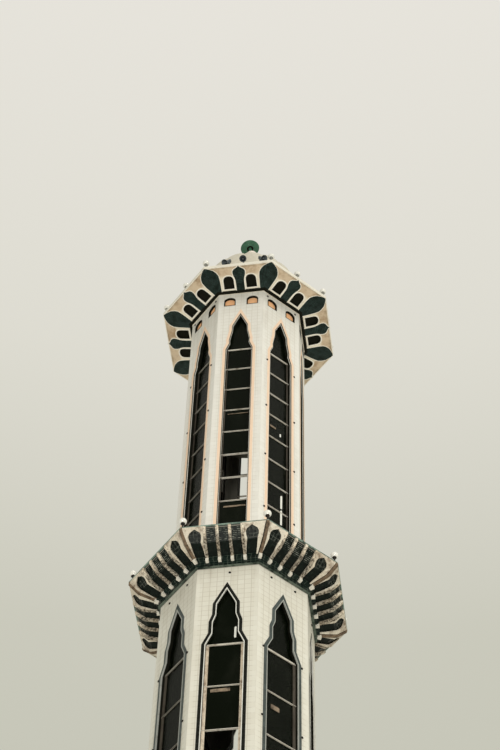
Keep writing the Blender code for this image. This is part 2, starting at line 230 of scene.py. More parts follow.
def band(name: str, outline: Outline, width: float, front: float, back: float) -> Piece:
    """Make a strip that follows the inner side of an outline, between two depths.

    Args:
        name: the piece's name.
        outline: its corners, in metres.
        width: the strip's width.
        front: the depth of its front.
        back: the depth of its back.

    Returns:
        The piece.
    """
    piece = sheet(name, outline)
    bpy.ops.mesh.select_mode(type="FACE")
    bpy.ops.mesh.select_all(action="SELECT")
    bpy.ops.mesh.inset(thickness=width, depth=0.0, use_even_offset=True)
    bpy.ops.mesh.delete(type="FACE")
    return deepened(piece, front, back)


def turned(
    name: str, profile: Outline, steps: int, smooth: float = 40.0, start: float = 0.0
) -> Piece:
    """Spin a profile of radii and heights about the Z axis.

    Args:
        name: the piece's name.
        profile: the outline; it is repeated from its first point where it is a ring.
        steps: the number of steps round.
        smooth: the angle in degrees below which edges are shaded smooth.
        start: the azimuth in degrees at which the profile is drawn.

    Returns:
        The piece, in object mode.
    """
    turn = math.radians(start)
    piece = draw(name, [(r * math.cos(turn), r * math.sin(turn), z) for r, z in profile])
    bpy.ops.mesh.spin(steps=steps, angle=math.tau, center=(0, 0, 0), axis=(0, 0, 1))
    bpy.ops.mesh.select_all(action="SELECT")
    bpy.ops.mesh.remove_doubles(threshold=0.00005)
    close(piece)
    if smooth:
        bpy.ops.object.shade_smooth_by_angle(angle=math.radians(smooth))
    return piece


def octagon(name: str, profile: Outline, rise: float = 0.0) -> Piece:
    """Spin a closed profile of corner radii and heights into an eight-sided ring."""
    points = [(radius, height + rise) for radius, height in profile]
    return turned(name, points + points[:1], SIDES, 0.0, CORNER_AZIMUTH)


def copied(piece: Piece, *places: Matrix) -> list[Piece]:
    """Copy a piece to places, each copy with its own mesh, and remove the first.

    Args:
        piece: the piece, which is removed.
        places: the copies' places.

    Returns:
        The copies.
    """
    copies = []
    for place in places:
        copy = piece.copy()
        copy.data = piece.data.copy()
        copy.data.transform(place)
        if place.determinant() < 0:
            copy.data.flip_normals()
        bpy.context.collection.objects.link(copy)
        copies.append(copy)
    bpy.data.objects.remove(piece, do_unlink=True)
    return copies


def select_only(*pieces: Piece) -> None:
    """Select only these pieces, the first of them active.

    Args:
        pieces: the pieces.
    """
    deselect()
    for piece in pieces:
        piece.select_set(True)
    bpy.context.view_layer.objects.active = pieces[0]


def joined(name: str, pieces: Sequence[Piece]) -> Piece:
    """Join pieces into one of that name.

    Args:
        name: the result's name.
        pieces: the pieces, at least one.

    Returns:
        The piece.
    """
    select_only(*pieces)
    if len(pieces) > 1:
        bpy.ops.object.join()
    piece = bpy.context.object
    piece.name = piece.data.name = name
    return piece


def modify(piece: Piece, kind: str, **settings: object) -> None:
    """Add a modifier with its settings to a piece and apply it.

    Args:
        piece: the piece.
        kind: the modifier's type.
        settings: its properties, by name.
    """
    select_only(piece)
    modifier = piece.modifiers.new(kind.lower(), kind)
    for name, value in settings.items():
        setattr(modifier, name, value)
    bpy.ops.object.modifier_apply(modifier=modifier.name)


def map_pattern(piece: Piece, place: Callable[[Vector], Point]) -> None:
    """Give a piece the UV map that its mosaic follows, in metres.

    Args:
        piece: the piece.
        place: takes a vertex to its place on the map.
    """
    layer = piece.data.uv_layers.new(name="pattern")
    for loop in piece.data.loops:
        layer.data[loop.index].uv = place(piece.data.vertices[loop.vertex_index].co)


def dress(piece: Piece, material: Material) -> Piece:
    """Give a piece one material.

    Args:
        piece: the piece.
        material: its material.

    Returns:
        The piece.
    """
    piece.data.materials.clear()
    piece.data.materials.append(material)
    return piece


def seat(
    piece: Piece, material: Material | None, slot: str, *replaced: str
) -> Piece:
    """Finish a piece: its material, its body, and the nodes that it stands for.

    Args:
        piece: the piece.
        material: its material, or None where it has one.
        slot: the slot's name; not used.
        replaced: the CAD nodes that it stands for.

    Returns:
        The piece.
    """
    if material:
        dress(piece, material)
    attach(piece, "root")
    if replaced:
        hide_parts(*replaced)
    LOG.info("%s: %d faces", piece.name, len(piece.data.polygons))
    return piece


def facing(apothem: float = 0.0, *faces: int) -> list[Matrix]:
    """Return the places that take a face's own frame to the given faces, or to all."""
    shift = Matrix.Translation((0, -apothem, 0))
    return [Matrix.Rotation(SECTOR * face, 4, "Z") @ shift for face in faces or range(SIDES)]


def mirrored(half: Outline, foot: float) -> list[Point]:
    """Close a half outline by its mirror image, standing on its foot."""
    right = [(half[0][0], foot)] + list(half)
    return right + [(-x, z) for x, z in reversed(right) if x > 0]


def offset(outline: Outline, distance: float) -> list[Point]:
    """Move an outline that runs anticlockwise inwards by a distance, with its mitres.

    Args:
        outline: the outline.
        distance: how far it moves.

    Returns:
        The moved outline.
    """
    moved = []
    count = len(outline)
    for index in range(count):
        before, here, after = (Vector(outline[(index + k) % count]) for k in (-1, 0, 1))
        first, second = (here - before).normalized(), (after - here).normalized()
        normal_a, normal_b = Vector((-first.y, first.x)), Vector((-second.y, second.x))
        mitre = (normal_a + normal_b) / (1 + normal_a.dot(normal_b))
        moved.append((here.x + mitre.x * distance, here.y + mitre.y * distance))
    return moved


# Finishes

def combining(operation: str, swapped: bool = False) -> Callable[[Wire, Wire | float], Wire]:
    """Make a method that adds a Math node of two values, swapped for a reflected operator.

    Args:
        operation: the node's operation.
        swapped: whether the other value comes first.

    Returns:
        The method.
    """

    def method(self: Wire, other: Wire | float) -> Wire:
        """Combine this value with another."""
        return self.kit.math(operation, *((other, self) if swapped else (self, other)))

    return method


class Wire:
    """A value in a material, with arithmetic that adds Math nodes."""

    __add__, __radd__ = combining("ADD"), combining("ADD", True)
    __sub__, __rsub__ = combining("SUBTRACT"), combining("SUBTRACT", True)
    __mul__, __rmul__ = combining("MULTIPLY"), combining("MULTIPLY", True)
    __truediv__, high = combining("DIVIDE"), combining("MAXIMUM")

    def __init__(self, kit: Kit, socket: bpy.types.NodeSocket) -> None:
        """Wrap an output socket."""
        self.kit = kit
        self.socket = socket

    def step(self, start: float, end: float) -> Wire:
        """Rise smoothly from 0 at the start to 1 at the end, or fall where it is lower.

        Args:
            start: the value at which it is 0.
            end: the value at which it is 1.

        Returns:
            The value.
        """
        settings = {"interpolation_type": "SMOOTHSTEP"}
        values = {0: self, 1: start, 2: end, 3: 0.0, 4: 1.0}
        if end < start:
            values = {0: self, 1: end, 2: start, 3: 1.0, 4: 0.0}
        return self.kit.node("MapRange", settings, values)


class Kit:
    """The nodes of one finish, around one Principled shader."""

    def __init__(
        self, name: str, roughness: float, metallic: float = 0.0, coat: float = 0.0,
        specular: float = 0.5,
    ) -> None:
        """Start a material with its shader's constant values.

        Args:
            name: the material's name.
            roughness: its roughness.
            metallic: how far it is a metal.
            coat: the weight of its coat.
            specular: the strength of its reflections.
        """
        self.material = bpy.data.materials.new(name)
        self.material.use_nodes = True
        self.tree = self.material.node_tree
        self.shader = self.tree.nodes["Principled BSDF"]
        self.shader.inputs["Roughness"].default_value = roughness
        self.shader.inputs["Metallic"].default_value = metallic
        self.shader.inputs["Coat Weight"].default_value = coat
        self.shader.inputs["Specular IOR Level"].default_value = specular

    def node(
        self, kind: str, settings: dict | None = None, values: dict | None = None,
        out: int | str = 0,
    ) -> Wire:
        """Add a node.

        Args:
            kind: the node's type, without its prefix.
            settings: its properties, set first.
            values: numbers, colours or wires for its sockets, by name or number.
            out: the output to return.

        Returns:
            The output as a wire.
        """
        node = self.tree.nodes.new(f"ShaderNode{kind}")
        for key, value in (settings or {}).items():
            setattr(node, key, value)
        for key, value in (values or {}).items():
            self._feed(node.inputs[key], value)
        return Wire(self, node.outputs[out])

    def _feed(self, socket: bpy.types.NodeSocket, value: object) -> None:
        """Link a wire to a socket, or set its value.

        Args:
            socket: the input.
            value: a wire, a number or a colour.
        """
        if isinstance(value, Wire):
            self.tree.links.new(value.socket, socket)
        elif isinstance(value, tuple) and socket.type == "RGBA":
            socket.default_value = (*value, 1.0)
        else:
            socket.default_value = value

    def math(self, operation: str, *values: Wire | float) -> Wire:
        """Add a Math node."""
        return self.node("Math", {"operation": operation}, dict(enumerate(values)))

    def mix(self, factor: Wire | float, first: object, second: object) -> Wire:
        """Mix two colours."""
        values = {0: factor, 6: first, 7: second}
        return self.node("Mix", {"data_type": "RGBA"}, values, 2)

    def place(self) -> Wire:
        """Return the place in the object's own metres."""
        return self.node("TexCoord", out="Object")

    def pattern(self) -> Wire:
        """Return the place on the piece's own map, in metres."""
        return self.node("UVMap", {"uv_map": "pattern"})

    def split(self, vector: Wire) -> tuple[Wire, Wire, Wire]:
        """Return a vector's three parts.

        Args:
            vector: the vector.

        Returns:
            The three parts.
        """
        first = self.node("SeparateXYZ", values={0: vector})
        outputs = first.socket.node.outputs
        return tuple(Wire(self, outputs[k]) for k in range(3))

    def vector(self, x: object, y: object = 0.0, z: object = 0.0) -> Wire:
        """Return a vector of three parts."""
        return self.node("CombineXYZ", values={0: x, 1: y, 2: z})

    def scaled(self, vector: Wire, scale: Colour) -> Wire:
        """Return a vector scaled by axis."""
        return self.node("VectorMath", {"operation": "MULTIPLY"}, {0: vector, 1: scale})

    def noise(
        self, vector: Wire, scale: float, detail: float = 3.0, roughness: float = 0.55
    ) -> Wire:
        """Return fractal noise between 0 and 1."""
        values = {"Vector": vector, "Scale": scale, "Detail": detail, "Roughness": roughness}
        return self.node("TexNoise", None, values)

    def tone(self, *indices: Wire) -> Wire:
        """Return a random number that is the same all over one cell."""
        vector = self.vector(*indices)
        return self.node("TexWhiteNoise", None, {"Vector": vector})

    def joint(self, position: Wire, pitch: float, width: float) -> Wire:
        """Return 1 on the joints between cells of a pitch, 0 elsewhere.

        Args:
            position: the place, counted in cells.
            pitch: the cells' size.
            width: the joints' width.

        Returns:
            The share of joint.
        """
        part = self.math("FRACT", position)
        away = 0.5 - self.math("ABSOLUTE", part - 0.5)
        return (away * pitch).step(width * 0.75, width * 0.25)

    def bump(self, height: Wire, distance: float) -> None:
        """Feed a height to the shader's normal."""
        values = {"Height": height, "Distance": distance, "Strength": 1.0}
        self._feed(self.shader.inputs["Normal"], self.node("Bump", None, values))

    def feed(self, **values: object) -> Material:
        """Feed the shader's sockets, by name with underscores, and return the material.

        Args:
            values: the values, by socket.

        Returns:
            The material.
        """
        for name, value in values.items():
            self._feed(self.shader.inputs[name.replace("_", " ")], value)
        return self.material


@dataclass(frozen=True)
class WallTile:
    """Square glazed tiles on a storey's faces, with plaster on the inner sides."""

    name: str
    storey: Storey
    columns: int
    light: Colour
    dark: Colour
    grout: Colour
    row: float = TILE_ROW
    grout_width: float = 0.0075

    def build(self) -> Material:
        """Build the material; the columns follow each face by its normal.

        Returns:
            The material.
        """
        kit = Kit(self.name, 0.38)
        place = kit.place()
        x, y, z = kit.split(place)
        normal = kit.node("NewGeometry", out="True Normal")
        nx, ny, _ = kit.split(normal)
        along = y * nx - x * ny
        outward = x * nx + y * ny
        width = 2 * self.storey.half_face / self.columns
        across = along / width + (self.columns % 2) / 2
        up = (z - self.storey.top) / self.row
        joints = kit.joint(across, width, self.grout_width)
        joints = joints.high(kit.joint(up, self.row, self.grout_width))
        trim = kit.math("ABSOLUTE", along).step(
            self.storey.half_face - 0.060, self.storey.half_face - 0.045
        )
        joints = joints * (1 - trim * 0.7)
        face = kit.math("ROUND", nx * 3 + ny * 11)
        tone = kit.tone(kit.math("FLOOR", across), kit.math("FLOOR", up), face)
        streak = kit.noise(kit.scaled(place, (5.0, 5.0, 0.7)), 1.0, 5.0)
        broad = kit.noise(kit.scaled(place, (0.6, 0.6, 0.25)), 1.0, 2.0)
        shade = tone * 0.55 + (1 - trim) * 0.2 + (broad - 0.5) * 0.8
        colour = kit.mix(shade, self.light, self.dark)
        dirt_and_top_shade = streak.step(0.54, 0.82) * 0.26
        # Within 0.45 m of the storey's top the streaks darken further: painted shade under the
        # gallery or canopy above.
        dirt_and_top_shade = dirt_and_top_shade + (self.storey.top - z).step(0.45, 0.0) * streak.step(0.40, 0.75) * 0.22
        colour = kit.mix(dirt_and_top_shade, colour, (0.33, 0.28, 0.20))
        colour = kit.mix(joints * 0.50, colour, self.grout)
        inside = outward.step(0.02, -0.02)
        plaster = kit.mix(broad, (0.16, 0.152, 0.125), (0.30, 0.285, 0.24))
        colour = kit.mix(inside, colour, plaster)
        kit.bump((1 - joints) + tone * 0.3, 0.0015)
        return kit.feed(Base_Color=colour, Roughness=0.30 + joints * 0.4 + streak * 0.15)


@dataclass(frozen=True)
class Mottled:
    """A finish of two tones with stains, for plaster, stone, concrete, paint and metal."""

    name: str
    light: Colour
    dark: Colour
    stain: Colour
    stained: float = 0.3
    scale: float = 4.0
    stretch: Colour = (1.0, 1.0, 1.0)
    roughness: float = 0.75
    metallic: float = 0.0
    coat: float = 0.0
    relief: float = 0.002
    specular: float = 0.35

    def build(self) -> Material:
        """Build the material.

        Returns:
            The material.
        """
        kit = Kit(self.name, self.roughness, self.metallic, self.coat, self.specular)
        place = kit.scaled(kit.place(), self.stretch)
        broad = kit.noise(place, self.scale * 0.35, 3.0)
        fine = kit.noise(place, self.scale * 6.0, 4.0, 0.65)
        colour = kit.mix((broad * 0.6 + fine * 0.5).step(0.35, 0.80), self.light, self.dark)
        blotch = kit.noise(place, self.scale, 6.0, 0.68)
        amount = blotch.step(0.66 - self.stained * 0.45, 0.72)
        colour = kit.mix(amount * min(1.0, self.stained * 2.0), colour, self.stain)
        kit.bump(fine * 0.6 + blotch * 0.4, self.relief)
        rough = self.roughness + (fine - 0.5) * 0.2
        return kit.feed(Base_Color=colour, Roughness=rough)


@dataclass(frozen=True)
class Mosaic:
    """Small dark tiles that follow a piece's own map."""

    name: str
    across: float
    along: float
    light: Colour
    dark: Colour
    grout: Colour
    grout_width: float = 0.003
    weathered: float = 0.25
    curved: float = 0.0

    def build(self) -> Material:
        """Build the material; a curved mosaic's rows bow along their length.

        Returns:
            The material.
        """
        kit = Kit(self.name, 0.35, specular=0.15)
        x, y, _ = kit.split(kit.pattern())
        rows = y - x * x * self.curved
        column, row = x / self.across, rows / self.along
        joints = kit.joint(column, self.across, self.grout_width)
        joints = joints.high(kit.joint(row, self.along, self.grout_width))
        tone = kit.tone(kit.math("FLOOR", column), kit.math("FLOOR", row))
        wear = kit.noise(kit.place(), 9.0, 5.0, 0.65)
        colour = kit.mix(tone * 0.8 + wear * 0.2, self.dark, self.light)
        colour = kit.mix(joints * wear.step(0.30, 0.62), colour, self.grout)
        colour = kit.mix(wear.step(0.62, 0.80) * self.weathered, colour, (0.11, 0.09, 0.06))
        kit.bump(1 - joints, 0.0012)
        return kit.feed(Base_Color=colour, Roughness=0.25 + joints * 0.5 + wear * 0.15)


@dataclass(frozen=True)
class ChannelMosaic:
    """Dark glazed tiles of a gallery's channels, painted near black as shade deep in the recess,
    with pale rungs shown only above the bend, where light reaches.
    """

    name: str
    spread: float
    bend: float = 0.226
    rung: float = 0.0255

    def build(self) -> Material:
        """Build the material; the map runs across the side and along the unfolded sheet.

        Returns:
            The material.
        """
        kit = Kit(self.name, 0.40, specular=0.12)
        x, y, _ = kit.split(kit.pattern())
        place = kit.place()
        sway = kit.noise(kit.scaled(place, (1.0, 1.0, 0.4)), 26.0, 2.0)
        rungs = kit.joint((y + (sway - 0.5) * 0.014) / self.rung, self.rung, 0.0065)
        head = kit.math("ABSOLUTE", x + 0.02 * self.spread).step(
            0.284 * self.spread, 0.294 * self.spread
        )
        grid = kit.joint(x / 0.050, 0.050, 0.006).high(kit.joint(y / 0.050, 0.050, 0.006))
        # Painted light: the rungs and grid show only above the bend, where light reaches into the
        # channel; nearer the wall they stay dark as painted shade.
        above = y.step(self.bend - 0.010, self.bend + 0.035)
        wear = kit.noise(place, 16.0, 5.0, 0.65)
        tone = kit.tone(kit.math("FLOOR", x / 0.030), kit.math("FLOOR", y / self.rung))
        # Near-black tiles: the dark mosaic darkened further as painted shade deep in the recess.
        colour = kit.mix(tone * 0.6 + wear * 0.4, (0.003, 0.004, 0.003), (0.008, 0.015, 0.012))
        lines = rungs * (1 - head) * wear.step(0.47, 0.58) * 0.85
        lines = lines.high(grid * head * wear.step(0.40, 0.62) * 0.35)
        lines = lines.high(head * tone.step(0.55, 0.95) * 0.12)
        colour = kit.mix(lines * above, colour, (0.34, 0.36, 0.31))
        # Below the bend the grid is painted dim: painted shade.
        grid_in_painted_shade = grid * (1 - above) * wear.step(0.50, 0.70) * 0.25
        colour = kit.mix(grid_in_painted_shade, colour, (0.10, 0.11, 0.09))
        kit.bump(lines * above, 0.002)
        return kit.feed(Base_Color=colour, Roughness=0.35 + wear * 0.2)


@dataclass(frozen=True)
class RibPlaster:
    """Speckled plaster of the ribs, darker towards their feet."""

    name: str

    def build(self) -> Material:
        """Build the material; the map's second number is the share of the rib's height.

        Returns:
            The material.
        """
        kit = Kit(self.name, 0.8, specular=0.25)
        _, rise, _ = kit.split(kit.pattern())
        place = kit.place()
        fine = kit.noise(place, 34.0, 5.0, 0.72)
        broad = kit.noise(kit.scaled(place, (1.0, 1.0, 0.45)), 7.0, 4.0, 0.6)
        plaster = kit.mix(broad.step(0.35, 0.7), (0.90, 0.82, 0.68), (0.66, 0.55, 0.41))
        dark_brown = kit.mix(fine, (0.050, 0.036, 0.022), (0.016, 0.013, 0.009))
        low = (rise + (broad - 0.5) * 0.5).step(0.68, 0.42)
        speckle = fine.step(0.45, 0.57) * (0.60 + low * 0.28)
        colour = kit.mix(speckle, plaster, dark_brown)
        colour = kit.mix(low * 0.52, colour, dark_brown)
        kit.bump(fine, 0.004)
        return kit.feed(Base_Color=colour, Roughness=0.70 + fine * 0.2)


@dataclass(frozen=True)
class SoffitPlaster:
    """The canopy's underside: cream around the petals, stained beige towards the rim."""

    name: str
    low: float
    high: float

    def build(self) -> Material:
        """Build the material; the underside rises towards its rim, so height tells them apart.

        Returns:
            The material.
        """
        kit = Kit(self.name, 0.8, specular=0.25)
        place = kit.place()
        _, _, z = kit.split(place)
        fine = kit.noise(place, 22.0, 4.0, 0.65)
        blotch = kit.noise(place, 3.5, 6.0, 0.68)
        cream = kit.mix(blotch, (0.86, 0.80, 0.68), (0.74, 0.66, 0.52))
        beige = kit.mix(fine * 0.5 + blotch * 0.5, (0.74, 0.62, 0.47), (0.56, 0.43, 0.29))
        beige = kit.mix(blotch.step(0.44, 0.66) * 0.75, beige, (0.36, 0.24, 0.14))
        beige = kit.mix(fine.step(0.60, 0.74) * 0.35, beige, (0.20, 0.13, 0.08))
        colour = kit.mix((z + (blotch - 0.5) * 0.012).step(self.low, self.high), cream, beige)
        rim = (z + (fine - 0.5) * 0.010).step(self.high + 0.018, self.high + 0.031)
        colour = kit.mix(rim * blotch.step(0.35, 0.60) * 0.55, colour, (0.22, 0.17, 0.11))
        kit.bump(fine * 0.6 + blotch * 0.4, 0.003)
        return kit.feed(Base_Color=colour, Roughness=0.72 + fine * 0.15)


@dataclass(frozen=True)
class BorderTile:
    """Black glazed tiles around the windows, jointed across at the wall's rows."""

    name: str = "black_border_tile"
    row: float = TILE_ROW
    light: Colour = (0.010, 0.011, 0.008)
    dark: Colour = (0.003, 0.004, 0.0025)

    def build(self) -> Material:
        """Build the material.

        Returns:
            The material.
        """
        kit = Kit(self.name, 0.30, specular=0.16)
        place = kit.place()
        _, _, z = kit.split(place)
        row = z / self.row
        joints = kit.joint(row, self.row, 0.004)
        tone = kit.tone(kit.math("FLOOR", row))
        wear = kit.noise(place, 14.0, 5.0, 0.7)
        colour = kit.mix(tone * 0.6 + wear * 0.4, self.dark, self.light)
        colour = kit.mix(joints * 0.5, colour, (0.05, 0.048, 0.04))
        colour = kit.mix(wear.step(0.68, 0.82) * 0.30, colour, (0.14, 0.13, 0.10))
        return kit.feed(Base_Color=colour, Roughness=0.24 + wear * 0.16)


@dataclass(frozen=True)
class Glass:
    """Tinted glass with a film of dust."""

    name: str
    alpha: float
    tint: Colour = (0.0025, 0.0040, 0.0016)

    def build(self) -> Material:
        """Build the material.

        Returns:
            The material.
        """
        kit = Kit(self.name, 0.15, specular=0.04)
        dust = kit.noise(kit.scaled(kit.place(), (1.0, 1.0, 0.5)), 3.0, 4.0)
        colour = kit.mix(dust.step(0.45, 0.85) * 0.5, self.tint, (0.016, 0.018, 0.012))
        return kit.feed(Base_Color=colour, Alpha=self.alpha, Roughness=0.12 + dust * 0.2)


FINISHES = {
    "border": BorderTile(),
    # The black border tiles again, painted grey for the diagonal faces: a painted reflection of the
    # bright sky.
    "pale_border": BorderTile(
        "border_tile_painted_reflection", light=(0.075, 0.094, 0.092), dark=(0.034, 0.045, 0.043)
    ),
    "bead": Mottled(
        "bead_paint", (0.84, 0.84, 0.79), (0.68, 0.67, 0.61), (0.26, 0.23, 0.18), 0.18, 8.0
    ),
    # A darker copy of the bead paint for the diagonal faces: painted shade.
    "grey_bead": Mottled(
        "bead_paint_painted_shade", (0.46, 0.47, 0.44), (0.34, 0.35, 0.32), (0.14, 0.13, 0.10), 0.25, 8.0
    ),
    "frame": Mottled(
        "weathered_frame_paint", (0.84, 0.76, 0.62), (0.60, 0.47, 0.34), (0.16, 0.10, 0.06),
        0.55, 12.0, (1.0, 1.0, 0.35), roughness=0.6,
    ),
    # A darker copy of the frame paint: painted shade.
    "dim_frame": Mottled(
        "dull_frame_paint", (0.095, 0.080, 0.062), (0.050, 0.041, 0.030), (0.022, 0.016, 0.011),
        0.45, 12.0, (1.0, 1.0, 0.35), roughness=0.7,
    ),
    # A darker copy of the bar paint: painted shade.
    "dim_bar": Mottled(
        "dull_bar_paint", (0.26, 0.245, 0.21), (0.15, 0.135, 0.11), (0.06, 0.045, 0.03), 0.4,
        10.0, roughness=0.6,
    ),
    "bar": Mottled(
        "bar_paint", (0.66, 0.63, 0.56), (0.46, 0.42, 0.35), (0.16, 0.12, 0.08), 0.4, 10.0,
        roughness=0.5,
    ),
    "peach": Mottled(
        "peach_render", (1.0, 0.57, 0.30), (0.95, 0.51, 0.26), (0.66, 0.35, 0.18), 0.2, 6.0
    ),
    "peach_edge": Mottled(
        "peach_edge_render", (0.90, 0.70, 0.54), (0.86, 0.63, 0.46), (0.66, 0.48, 0.34), 0.15,
        5.0,
    ),
    # Near black: black tiles, linings and arch panels; on the window reveals and niche sides it is
    # painted shade.
    "dark": Mottled(
        "dark_recess", (0.0055, 0.0058, 0.003), (0.010, 0.010, 0.006), (0.02, 0.017, 0.011), 0.2,
        specular=0.10,
    ),
    "soffit": SoffitPlaster("soffit_plaster", STOREYS[3].top + 0.070, STOREYS[3].top + 0.084),
    "ivory": Mottled(
        "ivory_trim", (0.90, 0.87, 0.78), (0.78, 0.73, 0.63), (0.40, 0.33, 0.24), 0.22, 7.0
    ),
    "spandrel": Mottled(
        "spandrel_plaster", (0.78, 0.73, 0.62), (0.58, 0.50, 0.39), (0.16, 0.10, 0.06), 0.46,
        6.0, relief=0.004,
    ),
    "rib": RibPlaster("rib_plaster"),
    "hip": Mottled(
        "hip_plaster", (0.24, 0.17, 0.11), (0.13, 0.085, 0.05), (0.04, 0.028, 0.016), 0.6, 12.0,
        relief=0.004,
    ),
    "petal": Mosaic(
        "petal_mosaic", 0.026, 0.030, (0.009, 0.022, 0.017), (0.003, 0.007, 0.005),
        (0.050, 0.078, 0.075), 0.0045, 0.05, curved=2.2,
    ),
    "ledge": Mosaic(
        "ledge_mosaic", 0.062, 0.050, (0.007, 0.018, 0.014), (0.003, 0.007, 0.005),
        (0.13, 0.16, 0.13), 0.005, 0.35,
    ),
    "concrete": Mottled(
        "deck_concrete", (0.30, 0.29, 0.25), (0.20, 0.19, 0.16), (0.10, 0.09, 0.07), 0.4, 2.5
    ),
    "roof": Mottled(
        "roof_screed", (0.52, 0.49, 0.42), (0.40, 0.37, 0.31), (0.20, 0.17, 0.13), 0.35, 2.2
    ),
    # A darker copy of the deck concrete for the stairs: painted shade inside the shaft.
    "stair": Mottled(
        "stair_concrete_painted_shade", (0.13, 0.125, 0.105), (0.085, 0.08, 0.066), (0.04, 0.037, 0.03), 0.4,
        2.5,
    ),
    "landing": Mottled(
        "landing_plaster", (0.36, 0.28, 0.20), (0.18, 0.13, 0.085), (0.06, 0.042, 0.028), 0.55,
        9.0,
    ),
    "slip": Mottled(
        "slip_paper", (0.92, 0.92, 0.86), (0.84, 0.84, 0.78), (0.60, 0.58, 0.52), 0.1, 9.0
    ),
    "fascia": Mottled(
        "fascia_paint", (0.30, 0.40, 0.34), (0.10, 0.16, 0.14), (0.03, 0.04, 0.03), 0.5, 9.0
    ),
    "dome": Mottled(
        "dome_plaster", (0.74, 0.70, 0.60), (0.60, 0.56, 0.46), (0.42, 0.37, 0.29), 0.28, 3.0
    ),
    "enamel": Mottled(
        "white_enamel", (0.98, 0.88, 0.80), (0.93, 0.82, 0.73), (0.60, 0.49, 0.40), 0.12, 7.0,
        roughness=0.35, coat=0.3,
    ),
    "green": Mottled(
        "green_enamel", (0.055, 0.165, 0.100), (0.030, 0.100, 0.060), (0.010, 0.030, 0.020),
        0.35, 8.0, roughness=0.45, coat=0.1,
    ),
    "globe": Mottled(
        "opal_globe", (0.92, 0.91, 0.86), (0.84, 0.83, 0.77), (0.55, 0.52, 0.45), 0.15, 12.0,
        roughness=0.15, coat=0.6, relief=0.0003,
    ),
    "iron": Mottled(
        "black_iron", (0.010, 0.009, 0.008), (0.022, 0.019, 0.016), (0.05, 0.03, 0.015), 0.3,
        14.0, roughness=0.6, relief=0.0005, specular=0.15,
    ),
    "stand": Mottled(
        "grey_stand_paint", (0.30, 0.30, 0.27), (0.20, 0.20, 0.18), (0.08, 0.07, 0.05), 0.3,
        14.0, roughness=0.6, relief=0.0005, specular=0.2,
    ),
    "horn": Mottled(
        "horn_paint", (0.13, 0.15, 0.16), (0.06, 0.07, 0.08), (0.02, 0.02, 0.018), 0.35, 12.0,
        roughness=0.45, relief=0.0004, specular=0.2,
    ),
    "stone": Mottled(
        "plinth_stone", (0.50, 0.47, 0.41), (0.40, 0.37, 0.31), (0.20, 0.18, 0.14), 0.35, 2.0
    ),
}


class Finishes:
    """All finishes, built once, by name."""

    def __init__(self) -> None:
        """Build the materials."""
        for name, finish in FINISHES.items():
            setattr(self, name, finish.build())
        cream = (0.77, 0.755, 0.675), (0.69, 0.665, 0.575), (0.42, 0.37, 0.29)
        white = (0.85, 0.835, 0.785), (0.78, 0.76, 0.70), (0.56, 0.51, 0.43)
        self.walls = {}
        for storey in STOREYS:
            columns, colours = (8, white) if storey.name == "upper" else (9, cream)
            tile = WallTile(f"{storey.name}_wall_tile", storey, columns, *colours)
            self.walls[storey.name] = tile.build()
        self.glass = {
            Pane.DARK: Glass("dark_glass", 0.97).build(),
            Pane.SMOKED: Glass("smoked_glass", 0.74).build(),
        }
        self.channels = [
            ChannelMosaic(
                f"channel_mosaic_{number}", storey.half_face / STOREYS[2].half_face
            ).build()
            for number, storey in enumerate(STOREYS[:3], start=1)
        ]


# Windows

